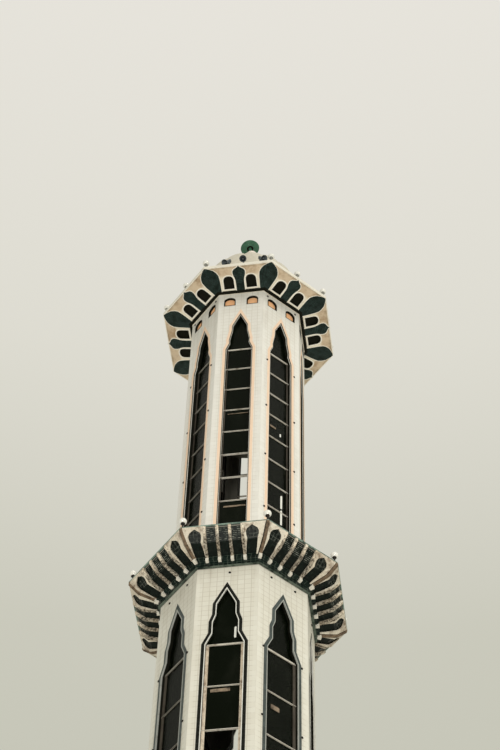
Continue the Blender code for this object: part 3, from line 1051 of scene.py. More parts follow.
@dataclass
class Windows:
    """The windows of one storey, one in each face, modelled in a face's own frame."""

    storey: Storey
    opening: Outline
    bars: Sequence[float]
    foot_rise: float = 0.12
    recess: float = 0.05
    frame_width: float = 0.032
    bar_height: float = 0.011
    bar_depth: float = 0.024
    first_bar: float = 0.032
    panes: dict[int, dict[int, Pane]] = field(default_factory=dict)
    usual: dict[int, Pane] = field(default_factory=dict)
    front_foot: float | None = None
    bead_width: float = 0.011

    def outline(self, grow: float = 0.0, face: int = 1) -> list[Point]:
        """Return the opening's outline, grown outwards.

        Args:
            grow: how far it is grown.
            face: the face's number.

        Returns:
            The outline.
        """
        rise = self.front_foot if face == 0 and self.front_foot else self.foot_rise
        half = [(x, self.storey.top - drop) for x, drop in self.opening]
        return offset(mirrored(half, self.storey.floor + rise), -grow)

    def half_width(self, height: float, face: int = 1) -> float:
        """Return half the opening's width at a height.

        Args:
            height: the height.
            face: the face's number.

        Returns:
            Half the width, or 0 outside the opening.
        """
        edge = [(x, z) for x, z in self.outline(0.0, face) if x >= 0]
        for (x0, z0), (x1, z1) in zip(edge, edge[1:]):
            if z0 <= height <= z1 and z1 > z0:
                return x0 + (x1 - x0) * (height - z0) / (z1 - z0)
        return 0.0

    def each_face(
        self, name: str, make: Callable[[int], Piece], faces: Iterable[int] = range(SIDES)
    ) -> Piece:
        """Make a part once for the plain faces and once for a special front, and join them.

        Args:
            name: the piece's name, without the storey's.
            make: makes the part for a face.
            faces: the faces' numbers.

        Returns:
            The piece.
        """
        faces = list(faces)
        pieces = []
        if self.front_foot and 0 in faces:
            faces.remove(0)
            pieces += copied(make(0), *facing(self.storey.apothem, 0))
        if faces:
            pieces += copied(make(faces[0]), *facing(self.storey.apothem, *faces))
        return joined(f"{self.storey.name}_{name}", pieces)

    def strip(
        self, name: str, outer: float, width: float, front: float, back: float,
        faces: Iterable[int] = range(SIDES),
    ) -> Piece:
        """Make a strip around the opening of every face, or of some.

        Args:
            name: the piece's name, without the storey's.
            outer: how far outside the opening the strip starts.
            width: the strip's width.
            front: the depth of its front.
            back: the depth of its back.
            faces: the faces' numbers.

        Returns:
            The piece.
        """
        return self.each_face(
            name, lambda face: band(name, self.outline(outer, face), width, front, back), faces
        )

    def make_jambs(self, face: int) -> Piece:
        """Make a face's two upright frame strips, from the foot to the first bar.

        Args:
            face: the face's number.

        Returns:
            The piece.
        """
        foot = min(z for _, z in self.outline(0.0, face)) + 0.004
        head = self.storey.top - self.bars[0]
        low, high = (
            self.half_width(height, face) - self.bead_width
            for height in (foot + 0.01, min(head, self.storey.top - 1.65) - 0.02)
        )
        outline = [
            (low, foot), (high, head),
            (high - self.frame_width, head), (low - self.frame_width, foot),
        ]
        return joined("jambs", [
            slab("jamb", [(side * x, z) for x, z in outline], self.recess, self.recess + 0.03)
            for side in (-1, 1)
        ])

    def make_bars(self, face: int) -> Piece:
        """Make a face's bars, the first one thicker, each with a groove under its nose.

        Args:
            face: the face's number.

        Returns:
            The piece.
        """
        foot = min(z for _, z in self.outline(0.0, face))
        turn = Matrix.Rotation(-math.pi / 2, 4, "Z") @ Matrix.Scale(-1, 4, (1, 0, 0))
        pieces = []
        for index, drop in enumerate(self.bars):
            height = self.storey.top - drop
            if height < foot + 0.1:
                continue
            half = self.half_width(height - 0.002, face) - 0.001
            tall = self.first_bar if index == 0 else self.bar_height
            deep = self.bar_depth * (1.4 if index == 0 else 1.0)
            profile = (
                (-0.004 / deep, -0.5), (-0.004 / deep, 0.5), (1.0, 0.5), (1.0, -0.5),
                (0.55, -0.5), (0.45, -0.25), (0.30, -0.25), (0.20, -0.5),
            )
            outline = [(self.recess + deep * d, height + tall * h) for d, h in profile]
            bar = slab("bar", outline, -half, half)
            bar.data.transform(turn)
            bar.data.flip_normals()
            pieces.append(bar)
        return joined("bars", pieces)

    def make_panes(self, face: int, finishes: Finishes) -> Piece:
        """Make a face's glass, divided at the bars, with the open cells left out.

        Args:
            face: the face's number.
            finishes: the built materials.

        Returns:
            The face's glass.
        """
        piece = sheet("panes", self.outline(-0.004, face))
        bpy.ops.transform.translate(value=(0, self.recess + 0.018, 0))
        heights = [self.storey.top - drop for drop in self.bars]
        divide(heights)
        states = self.panes.get(face, {})
        usual = self.usual.get(face, Pane.DARK)

        def state(centre: Vector) -> Pane:
            """Return how the cell around a point is left."""
            return states.get(sum(height > centre.z for height in heights), usual)

        if pick_faces(lambda centre: state(centre) is Pane.OPEN):
            bpy.ops.mesh.delete(type="FACE")
        close(piece)
        for kind in (Pane.DARK, Pane.SMOKED):
            piece.data.materials.append(finishes.glass[kind])
        for polygon in piece.data.polygons:
            polygon.material_index = state(polygon.center).value
        return piece


LOWER_OPENING = (
    (0.27000, 1.62030), (0.18600, 1.40030), (0.18600, 1.16316), (0.14508, 1.01644),
    (0.14212, 0.78537), (0.0, 0.44793),
)
UPPER_OPENING = (
    (0.226, 1.788), (0.172, 1.600), (0.178, 1.500), (0.138, 1.220), (0.132, 1.045), (0.0, 0.665),
)
LOWER_BARS = (1.587, 2.399, 3.223, 4.041, 4.859, 5.677, 6.495)
UPPER_BARS = (1.710, 2.294, 2.894, 3.490, 4.090, 4.710, 5.314, 5.906, 6.506)


def build_lower_windows(storey: Storey, finishes: Finishes) -> None:
    """Build the black-bordered windows of one of the three lower storeys.

    Args:
        storey: the storey.
        finishes: the built materials.
    """
    panes = {0: {3: Pane.OPEN}, 4: {0: Pane.OPEN}} if storey.name == "middle" else {}
    windows = Windows(
        storey, LOWER_OPENING, LOWER_BARS, frame_width=0.042, panes=panes,
        usual={face: Pane.SMOKED for face in DIAGONAL},
        front_foot=2.0 if storey.name == "base" else None,
    )
    # On the diagonal faces the border tiles carry a painted reflection of the sky and the beads
    # painted shade.
    for kind, faces, border, bead in (
        ("straight", STRAIGHT, finishes.border, finishes.bead),
        ("diagonal", DIAGONAL, finishes.pale_border, finishes.grey_bead),
    ):
        borders = windows.strip(f"{kind}_window_borders", 0.045, 0.0448, -0.005, 0.0, faces)
        seat(borders, border, "black_tile")
        beads = windows.strip(f"{kind}_window_beads", 0.0, 0.011, -0.009, 0.012, faces)
        seat(beads, bead, "window_frame")
    # Near-black strips on the reveals inside the opening: painted shade.
    seat(windows.strip("window_reveal_painted_shade", -0.0005, 0.004, 0.013, 0.112), finishes.dark, "black_tile")
    fit_bars(windows, STRAIGHT, finishes)
    glaze(windows, finishes)


def fit_bars(windows: Windows, framed: Sequence[int], finishes: Finishes) -> None:
    """Fit a storey's bars and frame strips, bright on the framed faces and elsewhere in darker
    copies of their paint that are painted shade.

    Args:
        windows: the storey's windows.
        framed: the faces with bright frames.
        finishes: the built materials.
    """
    # Faces without bright frames, and the bars on faces 3, 5 and 7, take their paint in painted
    # shade.
    dull = [face for face in range(SIDES) if face not in framed]
    for kind, faces, finish in (
        ("bright", framed, finishes.frame), ("dull", dull, finishes.dim_frame),
    ):
        if faces:
            jambs = windows.each_face(f"window_jambs_{kind}", windows.make_jambs, faces)
            seat(jambs, finish, "window_frame")
    for kind, faces, finish in (
        ("bright", (0, 1, 2, 4, 6), finishes.bar), ("dull", (3, 5, 7), finishes.dim_bar),
    ):
        bars = windows.each_face(f"window_bars_{kind}", windows.make_bars, faces)
        seat(bars, finish, "window_frame")


def glaze(windows: Windows, finishes: Finishes) -> None:
    """Build a storey's panes, face by face because each face is glazed in its own way.

    Args:
        windows: the storey's windows.
        finishes: the built materials.
    """
    pieces = []
    for face in range(SIDES):
        pieces += copied(windows.make_panes(face, finishes), *facing(windows.storey.apothem, face))
    piece = joined(f"{windows.storey.name}_window_panes", pieces)
    modify(piece, "SOLIDIFY", thickness=0.004)
    seat(piece, None, "window_glass")


def build_upper_windows(storey: Storey, finishes: Finishes) -> None:
    """Build the peach-edged windows of the top storey.

    Args:
        storey: the storey.
        finishes: the built materials.
    """
    panes = {
        0: {6: Pane.OPEN, 7: Pane.OPEN},
        4: {cell: Pane.OPEN for cell in (1, 2, 3, 4, 8, 9)},
        5: {cell: Pane.OPEN for cell in (3, 5, 6)},
    }
    usual = {face: Pane.SMOKED for face in (1, 3, 4, 5, 7)}
    windows = Windows(
        storey, UPPER_OPENING, UPPER_BARS, panes=panes, usual=usual, recess=0.075,
        frame_width=0.018, first_bar=0.028, bead_width=0.005,
    )
    edges = windows.strip("window_edges", 0.046, 0.0458, -0.004, 0.0)
    seat(edges, finishes.peach_edge, "peach_render")
    seat(windows.strip("window_beads", -0.010, 0.005, 0.010, 0.020), finishes.bead, "window_frame")
    # Near-black strips on the reveals inside the opening: painted shade.
    seat(windows.strip("window_reveal_painted_shade", -0.0005, 0.003, 0.004, 0.112), finishes.dark, "black_tile")
    fit_bars(windows, (), finishes)
    glaze(windows, finishes)


# Small details on the walls

@dataclass
class Niches:
    """The pairs of shallow round-headed niches under the canopy."""

    storey: Storey
    centre: float = 0.195
    half_width: float = 0.100
    sill: float = 0.388
    spring: float = 0.225
    depth: float = 0.045
    steps: int = 12

    def outline(self, side: int, shrink: float) -> list[Point]:
        """Return a niche's outline, made smaller.

        Args:
            side: -1 for the left one, 1 for the right one.
            shrink: how much smaller it is on every side.

        Returns:
            The outline.
        """
        half, middle = self.half_width - shrink, side * self.centre
        foot, spring = (self.storey.top - drop for drop in (self.sill - shrink, self.spring))
        angles = [math.pi * step / self.steps for step in range(self.steps + 1)]
        head = [(middle + half * math.cos(a), spring + half * math.sin(a)) for a in angles]
        return [(middle + half, foot), *head, (middle - half, foot)]

    def build(self, finishes: Finishes) -> None:
        """Build the dark linings, partly black tiles and partly painted shade in the niches, and
        the peach backs.

        Args:
            finishes: the built materials.
        """
        linings, backs = [], []
        places = facing(self.storey.apothem)
        for side in (-1, 1):
            # The dark lining stands for black tiles and for the shade inside the niche: partly
            # painted shade.
            lining = band("lining", self.outline(side, 0.001), 0.014, -0.002, self.depth)
            linings += copied(lining, *places)
            back = self.outline(side, 0.016)
            backs += copied(slab("back", back, self.depth - 0.010, self.depth - 0.001), *places)
        seat(joined("upper_niche_linings_and_shade", linings), finishes.dark, "black_tile")
        seat(joined("upper_niche_backs", backs), finishes.peach, "peach_render")


@dataclass
class Pegs:
    """Short iron sockets let into the walls beside the windows."""

    storey: Storey
    spots: Sequence[tuple[int, float, float]]
    radius: float = 0.014
    length: float = 0.012

    def build(self, finishes: Finishes) -> None:
        """Build the storey's sockets.

        Args:
            finishes: the built materials.
        """
        profile = [
            (0.0, -0.004), (self.radius * 0.6, -0.004), (self.radius * 0.6, self.length),
            (self.radius, self.length), (self.radius, 0.007), (self.radius * 1.35, 0.005),
            (self.radius * 1.35, 0.0),
        ]
        peg = turned("peg", profile, 10)
        lie = Matrix.Rotation(math.pi / 2, 4, "X")
        places = []
        for face, along, drop in self.spots:
            spot = Matrix.Translation((along, 0.0, self.storey.top - drop))
            places.append(facing(self.storey.apothem, face)[0] @ spot @ lie)
        piece = joined(f"{self.storey.name}_wall_sockets", copied(peg, *places))
        seat(piece, finishes.iron, "horn_metal")


def build_landing_edges(finishes: Finishes) -> None:
    """Build the slab ends of the stair's landings that show behind the front windows.

    Args:
        finishes: the built materials.
    """
    upper, middle = STOREYS[3], STOREYS[2]
    ends = (
        (upper, 0, 0.015, 0.165, 26.895, 0.010), (upper, 0, 0.020, 0.165, 24.435, 0.030),
        (middle, 0, -0.040, 0.130, 20.245, 0.055), (upper, 1, -0.080, 0.060, 26.690, 0.040),
        (middle, 1, -0.075, 0.070, 20.060, 0.075),
    )
    slips = (
        (middle, 0, 0.131, 0.014, 21.300, 0.205), (upper, 1, 0.101, 0.016, 24.700, 0.300),
        (upper, 1, 0.101, 0.016, 24.300, 0.330), (upper, 1, 0.070, 0.012, 26.560, 0.070),
    )
    for name, spots, finish in (
        ("landing_edges", ends, finishes.landing), ("bright_slips", slips, finishes.slip),
    ):
        pieces = []
        for storey, face, along, half, height, tall in spots:
            depth = 0.079 if storey is upper else 0.054
            corners = ((-1, 0), (1, 0), (1, 1), (0.6, 1.1), (-0.7, 1.05), (-1, 0.96))
            outline = [(half * x, height + tall * z) for x, z in corners]
            piece = slab("piece", outline, depth, depth + 0.006)
            place = facing(storey.apothem, face)[0] @ Matrix.Translation((along, 0, 0))
            pieces += copied(piece, place)
        seat(joined(name, pieces), finish, "stained_plaster")


# Galleries

@dataclass
class Gallery:
    """A gallery on tiled channels between plaster ribs."""

    number: int
    below: Storey
    above: Storey
    rib_places: Sequence[float] = (-0.29, -0.11, 0.07, 0.25)
    rib_half: float = 0.022
    rim: float = GALLERY_REACH
    height: float = 0.415
    rib_outline: Outline = (
        (0.050, 0.120), (0.080, 0.132), (0.318, 0.205), (0.452, 0.352), (0.4585, 0.362),
        (0.4585, 0.402), (0.425, 0.402), (0.400, 0.376), (0.280, 0.252), (0.050, 0.185),
    )
    foot_outline: Outline = (
        (-0.0225, 0.084), (0.0225, 0.084), (0.0225, 0.146), (0.013, 0.155), (-0.013, 0.155),
        (-0.0225, 0.146),
    )

    @property
    def apothem(self) -> float:
        """Distance from the axis to the wall below."""
        return self.below.apothem

    @property
    def spread(self) -> float:
        """How much wider the sides are than those of the top gallery."""
        return self.below.half_face / STOREYS[2].half_face

    def ring(self, name: str, profile: Outline) -> Piece:
        """Spin a closed profile of reach and rise into an octagonal ring."""
        corners = [((self.apothem + r) / COS_HALF, h) for r, h in profile]
        return octagon(name, corners, self.below.top)

    def build(self, finishes: Finishes) -> None:
        """Build the gallery's pieces.

        Args:
            finishes: the built materials.
        """
        prefix = f"gallery_{self.number}"
        inner = self.above.apothem - 0.12 - self.apothem
        core = self.ring(f"{prefix}_deck", [
            (inner, self.height - 0.001), (0.436, self.height - 0.001), (0.436, 0.385),
            (0.408, 0.372), (0.285, 0.245), (0.070, 0.178), (0.0, 0.178), (0.0, 0.0003),
            (inner, 0.0003),
        ])
        seat(core, finishes.concrete, "stained_plaster", prefix)
        self.build_channels(prefix, finishes)
        self.build_ledge(prefix, finishes)
        self.build_ribs(prefix, finishes)
        self.build_spandrels(prefix, finishes)
        edge = self.ring(f"{prefix}_edge_strip", [
            (0.430, self.height), (self.rim, self.height), (self.rim, self.height - 0.012),
            (self.rim - 0.006, self.height - 0.016), (0.430, self.height - 0.014),
        ])
        seat(edge, finishes.fascia, "stained_plaster")

    def build_channels(self, prefix: str, finishes: Finishes) -> None:
        """Build the mosaic of the channels, one bent sheet for each side.

        Args:
            prefix: the gallery's name.
            finishes: the built materials.
        """
        path = ((0.0695, 0.1700), (0.2855, 0.2370), (0.4100, 0.3660), (0.4400, 0.4000))
        piece = draw("channel", [(0.0, -(self.apothem + r), self.below.top + h) for r, h in path])
        bpy.ops.mesh.extrude_region_move(TRANSFORM_OT_translate={"value": (1.0, 0, 0)})
        bpy.ops.object.mode_set(mode="OBJECT")
        for vertex in piece.data.vertices:
            side = 1 if vertex.co.x > 0.5 else -1
            vertex.co.x = side * -vertex.co.y * TAN_HALF
        lengths = [0.0, 0.2262, 0.4055, 0.4508]
        rises = [self.below.top + h for _, h in path]

        def unfold(point: Vector) -> Point:
            """Return the place on the unfolded sheet."""
            index = min(range(4), key=lambda k: abs(point.z - rises[k]))
            return point.x, lengths[index]

        map_pattern(piece, unfold)
        modify(piece, "SOLIDIFY", thickness=0.006, offset=0.0)
        channels = joined(f"{prefix}_channels", copied(piece, *facing()))
        seat(channels, finishes.channels[self.number - 1], "green_mosaic")

    def build_ledge(self, prefix: str, finishes: Finishes) -> None:
        """Build the tiled band at the foot of the ribs.

        Args:
            prefix: the gallery's name.
            finishes: the built materials.
        """
        ledge = self.ring(f"{prefix}_ledge", [
            (0.0005, 0.010), (0.038, 0.010), (0.038, 0.112), (0.082, 0.130), (0.082, 0.172),
            (0.0005, 0.172),
        ])
        reach, foot = self.apothem + 0.04, self.below.top + 0.010
        map_pattern(ledge, lambda co: (math.atan2(co.x, -co.y) * reach, co.z - foot))
        seat(ledge, finishes.ledge, "green_mosaic")

    def rib(self, scale: float) -> Piece:
        """Make one rib, an upright plate with a rounded nose, pointing along -Y.

        Args:
            scale: how far its reach is stretched, for a hip.

        Returns:
            The piece.
        """
        outline = [((self.apothem + r) * scale, self.below.top + h) for r, h in self.rib_outline]
        piece = slab("rib", outline, -self.rib_half, self.rib_half)
        piece.data.transform(Matrix.Rotation(-math.pi / 2, 4, "Z"))
        select_only(piece)
        bpy.ops.object.mode_set(mode="EDIT")
        bpy.ops.mesh.select_all(action="SELECT")
        bpy.ops.mesh.bevel(offset=0.006, segments=2, affect="EDGES")
        close(piece)
        bpy.ops.object.shade_smooth_by_angle(angle=math.radians(50))
        map_pattern(piece, lambda co: (co.x, (co.z - self.below.top - 0.12) / 0.28))
        return piece

    def build_ribs(self, prefix: str, finishes: Finishes) -> None:
        """Build the ribs of every side, the hips at the corners and the blocks at their feet.

        Args:
            prefix: the gallery's name.
            finishes: the built materials.
        """
        outline = [(x, self.below.top + h) for x, h in self.foot_outline]
        places = [Matrix.Translation((along * self.spread, 0, 0)) for along in self.rib_places]
        spots = [("ribs", place, 1.0) for place in places]
        spots.append(("hips", Matrix.Rotation(SECTOR / 2, 4, "Z"), 1 / COS_HALF))
        pieces = {"ribs": [], "hips": [], "rib_feet": []}
        for kind, place, scale in spots:
            pieces[kind] += copied(self.rib(scale), *(side @ place for side in facing()))
        for _, place, scale in spots:
            out = (self.apothem + 0.093) * scale
            foot = slab("foot", outline, -out, -out + 0.062)
            pieces["rib_feet"] += copied(foot, *(side @ place for side in facing()))
        for kind, finish, slot in (
            ("ribs", finishes.rib, "stained_plaster"), ("hips", finishes.hip, "stained_plaster"),
            ("rib_feet", finishes.ivory, "cream_tile"),
        ):
            seat(joined(f"{prefix}_{kind}", pieces[kind]), finish, slot)

    def build_spandrels(self, prefix: str, finishes: Finishes) -> None:
        """Build the plaster around the pointed heads of the end channels.

        Args:
            prefix: the gallery's name.
            finishes: the built materials.
        """
        fold = 0.2490
        run = fold + 0.1990
        wide = self.spread

        def edge(along: float) -> float:
            """Return the hip's place at a distance along the unfolded bay."""
            reach = 0.080 + along * 0.955 if along < fold else 0.318 + (along - fold) * 0.674
            return (self.apothem + reach) * TAN_HALF

        inner = 0.268 * wide
        arch = [
            (0.290, 0.0), (0.300, 0.10), (0.330, 0.2495), (0.320, 0.300), (0.317, 0.348),
            (0.335, 0.390), (0.410, 0.442), (0.484, 0.390), (0.503, 0.348), (0.498, 0.300),
            (0.480, 0.2495), (0.452, 0.10), (0.430, 0.0),
        ]
        outline = [(inner, 0.0), *((x * wide, y) for x, y in arch), (edge(0.0) - 0.02, 0.0)]
        outline += [(edge(p) - 0.02, p) for p in (0.1, fold, run, 0.493)] + [(inner, 0.493)]
        piece = sheet("spandrel", outline)
        divide((0.1, fold, 0.345, run))
        bpy.ops.mesh.select_all(action="SELECT")
        bpy.ops.mesh.quads_convert_to_tris()
        bpy.ops.object.mode_set(mode="OBJECT")
        for vertex in piece.data.vertices:
            x, p = vertex.co.x, vertex.co.z
            if p <= fold:
                reach, rise = 0.082 + p * 0.948, 0.140 + p * 0.290
            elif p <= run + 0.0005:
                reach, rise = 0.318 + (p - fold) * 0.674, 0.212 + (p - fold) * 0.739
            else:
                reach, rise = 0.4585, 0.362 + (p - run)
            vertex.co = (x, -(self.apothem + reach), self.below.top + rise)
        modify(piece, "SOLIDIFY", thickness=0.018, offset=1.0)
        bpy.ops.object.mode_set(mode="EDIT")
        close(piece)
        shift = Matrix.Translation((-0.02 * wide, 0, 0))
        turns = (Matrix(), Matrix.Scale(-1, 4, (1, 0, 0)))
        pieces = copied(piece, *(side @ shift @ turn for side in facing() for turn in turns))
        seat(joined(f"{prefix}_spandrels", pieces), finishes.spandrel, "stained_plaster")


# Canopy

@dataclass
class Canopy:
    """The flared canopy with mosaic petals and dark arches on its soffit."""

    top: float = STOREYS[3].top
    inner: float = 1.062 * COS_HALF
    rim: float = 1.5505 * COS_HALF
    inner_rise: float = 0.020
    rim_rise: float = 0.116

    @property
    def slope(self) -> float:
        """The angle at which the soffit rises towards its rim."""
        return math.atan2(self.rim_rise - self.inner_rise, self.rim - self.inner)

    def flat(self, outline: Outline) -> list[Point]:
        """Return an outline of along and apothem as it measures on the soffit."""
        return [(x, (a - self.inner) / math.cos(self.slope)) for x, a in outline]

    def laid(self, piece: Piece) -> list[Piece]:
        """Copy a flat piece to the soffit of every side, its front down.

        Args:
            piece: the piece, which is removed.

        Returns:
            The copies.
        """
        base = Matrix.Translation((0, -self.inner, self.top + self.inner_rise))
        down = Matrix(((1, 0, 0, 0), (0, 0, -1, 0), (0, 1, 0, 0), (0, 0, 0, 1)))
        place = base @ Matrix.Rotation(-self.slope, 4, "X") @ down
        return copied(piece, *(side @ place for side in facing()))

    def plates(
        self, name: str, outlines: Iterable[Outline], front: float, back: float, width: float = 0.0
    ) -> Piece:
        """Make plates on every side's soffit, or strips around the outside of their outlines.

        Args:
            name: the piece's name.
            outlines: outlines of along and apothem, as on the front side.
            front: the depth of the plates' lower side.
            back: the depth of their upper side.
            width: the strips' width, or nothing for plates.

        Returns:
            The plates or strips as one piece.
        """
        pieces = []
        for flat in map(self.flat, outlines):
            if width:
                piece = band(name, offset(flat, -width), width, front, back)
            else:
                piece = slab(name, flat, front, back)
                map_pattern(piece, lambda co: (co.x, co.z))
            pieces += self.laid(piece)
        return joined(name, pieces)

    def arch(self, side: int) -> list[Point]:
        """Return the outline of a round-headed arch.

        Args:
            side: -1 for the left one, 1 for the right one.

        Returns:
            The outline.
        """
        centre, half, foot, spring = side * 0.195, 0.090, 1.027, 1.165
        points = [(centre + half, foot)]
        for step in range(13):
            angle = math.pi * step / 12
            across, up = math.cos(angle), math.sin(angle)
            squared = (abs(across) ** 2.4 + up ** 2.4) ** (-1 / 2.4)
            points.append((centre + half * across * squared, spring + half * up * squared))
        return points + [(centre - half, foot)]

    def middle_petal(self) -> list[Point]:
        """Return the outline of the onion-headed petal.

        Returns:
            The outline.
        """
        half = (
            (0.072, 0.985), (0.072, 1.100), (0.074, 1.170), (0.084, 1.215), (0.102, 1.260),
            (0.110, 1.300), (0.108, 1.335), (0.088, 1.365), (0.053, 1.385), (0.024, 1.402),
            (0.0, 1.428),
        )
        return [*half, *((-x, a) for x, a in reversed(half[:-1]))]

    def corner_petal(self) -> list[Point]:
        """Return half of the leaf that lies over a corner, as it is on one side's soffit.

        Returns:
            The half outline.
        """
        hip = [(a * TAN_HALF, a) for a in (0.985, 1.425)]
        edge = (
            (0.335, 0.985), (0.340, 1.104), (0.345, 1.200), (0.357, 1.280), (0.387, 1.330),
            (0.440, 1.380), (0.510, 1.410), (0.550, 1.422),
        )
        return [hip[0], hip[1], *reversed(edge)]

    def build(self, finishes: Finishes) -> None:
        """Build the canopy's pieces.

        Args:
            finishes: the built materials.
        """
        profile = [
            (0.0, 0.290), (0.95, 0.290), (1.5465, 0.1805), (1.5465, 0.1155), (1.062, 0.020),
            (1.050, 0.0), (0.0, 0.0),
        ]
        profile = [(radius, self.top + height) for radius, height in profile]
        body = turned("canopy_soffit", profile, SIDES, 0.0, CORNER_AZIMUTH)
        arches = [self.arch(side) for side in (-1, 1)]
        cutters = [self.laid(slab("arch", self.flat(arch), -0.02, 0.040)) for arch in arches]
        cutter = joined("arches", sum(cutters, []))
        dress(body, finishes.soffit)
        dress(cutter, finishes.dark)
        body.data.materials.append(finishes.dark)
        modify(body, "BOOLEAN", operation="DIFFERENCE", solver="EXACT", object=cutter)
        bpy.data.objects.remove(cutter, do_unlink=True)
        body.data.materials.append(finishes.roof)
        for polygon in body.data.polygons:
            polygon.material_index = 2 if polygon.normal.z > 0.5 else 0
        seat(body, None, "stained_plaster", "canopy")
        backs = self.plates("canopy_arch_backs", [offset(a, 0.001) for a in arches], 0.030, 0.040)
        seat(backs, finishes.dark, "black_tile")
        inner = [offset(a, 0.006) for a in arches]
        linings = self.plates("canopy_arch_linings", inner, 0.0, 0.03, 0.005)
        seat(linings, finishes.dark, "black_tile")
        rims = self.plates("canopy_arch_rims", arches, -0.006, 0.004, 0.022)
        seat(rims, finishes.ivory, "cream_tile")
        corner = self.corner_petal()
        petals = [self.middle_petal(), corner, [(-x, a) for x, a in reversed(corner)]]
        seat(self.plates("canopy_petals", petals, -0.004, 0.004), finishes.petal, "green_mosaic")
        edge = list(reversed(corner[2:]))
        strip = [*edge, *((x - 0.012, a + 0.002) for x, a in reversed(edge))]
        strips = [strip, [(-x, a) for x, a in reversed(strip)]]
        rims = joined("canopy_petal_rims", [
            self.plates("middle", petals[:1], -0.008, 0.002, 0.013),
            self.plates("corner", strips, -0.008, 0.002),
        ])
        seat(rims, finishes.ivory, "cream_tile")
        ring = octagon("canopy_foot_band", [
            (1.018, 0.0003), (1.060, -0.004), (1.078, 0.018), (1.078, 0.030), (1.018, 0.004),
        ], self.top)
        map_pattern(ring, lambda co: (math.atan2(co.x, -co.y), math.hypot(co.x, co.y)))
        seat(ring, finishes.dark, "green_mosaic")
        edge = octagon("canopy_fascia", [
            (1.5505, 0.114), (1.5505, 0.184), (1.538, 0.186), (1.536, 0.112),
        ], self.top)
        seat(edge, finishes.ivory, "cream_tile")


# Lamps, dome, finial and horns

@dataclass
class LampRing:
    """A kerb with a globe lamp at every corner."""

    name: str
    corner_radius: float
    seat_height: float
    slope: float = 0.0
    half_way: bool = False

    def build(self, finishes: Finishes) -> None:
        """Build the kerb, the iron bases and the globes.

        Args:
            finishes: the built materials.
        """
        outer, width = self.corner_radius - 0.025, 0.060
        base = self.seat_height + self.slope * 0.025
        rise = self.slope * width
        kerb = octagon(f"{self.name}_kerb", [
            (outer, 0.016), (outer, 0.0), (outer - width, rise), (outer - width, 0.016 + rise),
            (outer - width + 0.006, 0.020 + rise), (outer - 0.006, 0.020),
        ], base)
        seat(kerb, finishes.concrete, "stained_plaster", self.name)
        foot = base + 0.020 + rise / 2
        middle = outer - width / 2
        spots = [(middle, CORNER_AZIMUTH + 45 * k) for k in range(SIDES)]
        if self.half_way:
            spots += [(middle * COS_HALF, 45.0 * k) for k in range(1, SIDES)]
        places = [
            Matrix.Rotation(math.radians(turn), 4, "Z") @ Matrix.Translation((0, -radius, foot))
            for radius, turn in spots
        ]
        stand = turned("stand", [
            (0.0, 0.132), (0.028, 0.132), (0.032, 0.127), (0.028, 0.118), (0.015, 0.106),
            (0.012, 0.060), (0.016, 0.034), (0.024, 0.014), (0.028, 0.004), (0.028, -0.006),
            (0.0, -0.006),
        ], 14)
        finish = finishes.stand if self.half_way else finishes.iron
        seat(joined(f"{self.name}_bases", copied(stand, *places)), finish, "lamp_base")
        globe = turned("globe", [
            (0.0, 0.2315), (0.010, 0.2312), *(
                (0.057 * math.sin(math.radians(a)), 0.175 + 0.057 * math.cos(math.radians(a)))
                for a in range(20, 141, 12)
            ), (0.030, 0.128), (0.0, 0.128),
        ], 16)
        seat(joined(f"{self.name}_globes", copied(globe, *places)), finishes.globe, "lamp_globe")


def build_dome(finishes: Finishes) -> None:
    """Build the gadrooned dome over its drum.

    Args:
        finishes: the built materials.
    """
    centre, radius, lobes = 31.720, 0.92, 16
    foot, tip = 31.1803, 32.860
    outer = [(0.0, tip), (0.070, tip)]
    leave = math.radians(62)
    shoulder = Vector((radius * math.cos(leave), centre + radius * math.sin(leave)))
    control = shoulder + Vector((-math.sin(leave), math.cos(leave))) * radius * 0.34
    for step in range(1, 8):
        t = step / 8
        point = Vector((0.070, tip)) * (1 - t) ** 2 + control * 2 * t * (1 - t) + shoulder * t * t
        outer.append((point.x, point.y))
    last = math.asin((foot - centre) / radius)
    for step in range(19):
        angle = leave + (last - leave) * step / 18
        outer.append((radius * math.cos(angle), centre + radius * math.sin(angle)))
    inner = [(0.80, foot), (0.84, 31.45), (0.86, 31.72), (0.74, 32.16), (0.42, 32.50), (0.0, 32.66)]
    piece = turned("dome_shell", outer + inner, lobes * 8, 45.0)
    for vertex in piece.data.vertices:
        x, y, z = vertex.co
        reach = math.hypot(x, y)
        if reach < 0.01 or math.hypot(reach, z - centre) < radius - 0.03:
            continue
        lobe = abs(math.sin(math.atan2(y, x) * lobes / 2))
        pinch = 0.034 * (1 - lobe ** 0.45) * min(1.0, reach / 0.5)
        vertex.co = (x * (1 - pinch), y * (1 - pinch), z)
    seat(piece, finishes.dome, "dome_plaster", "dome")


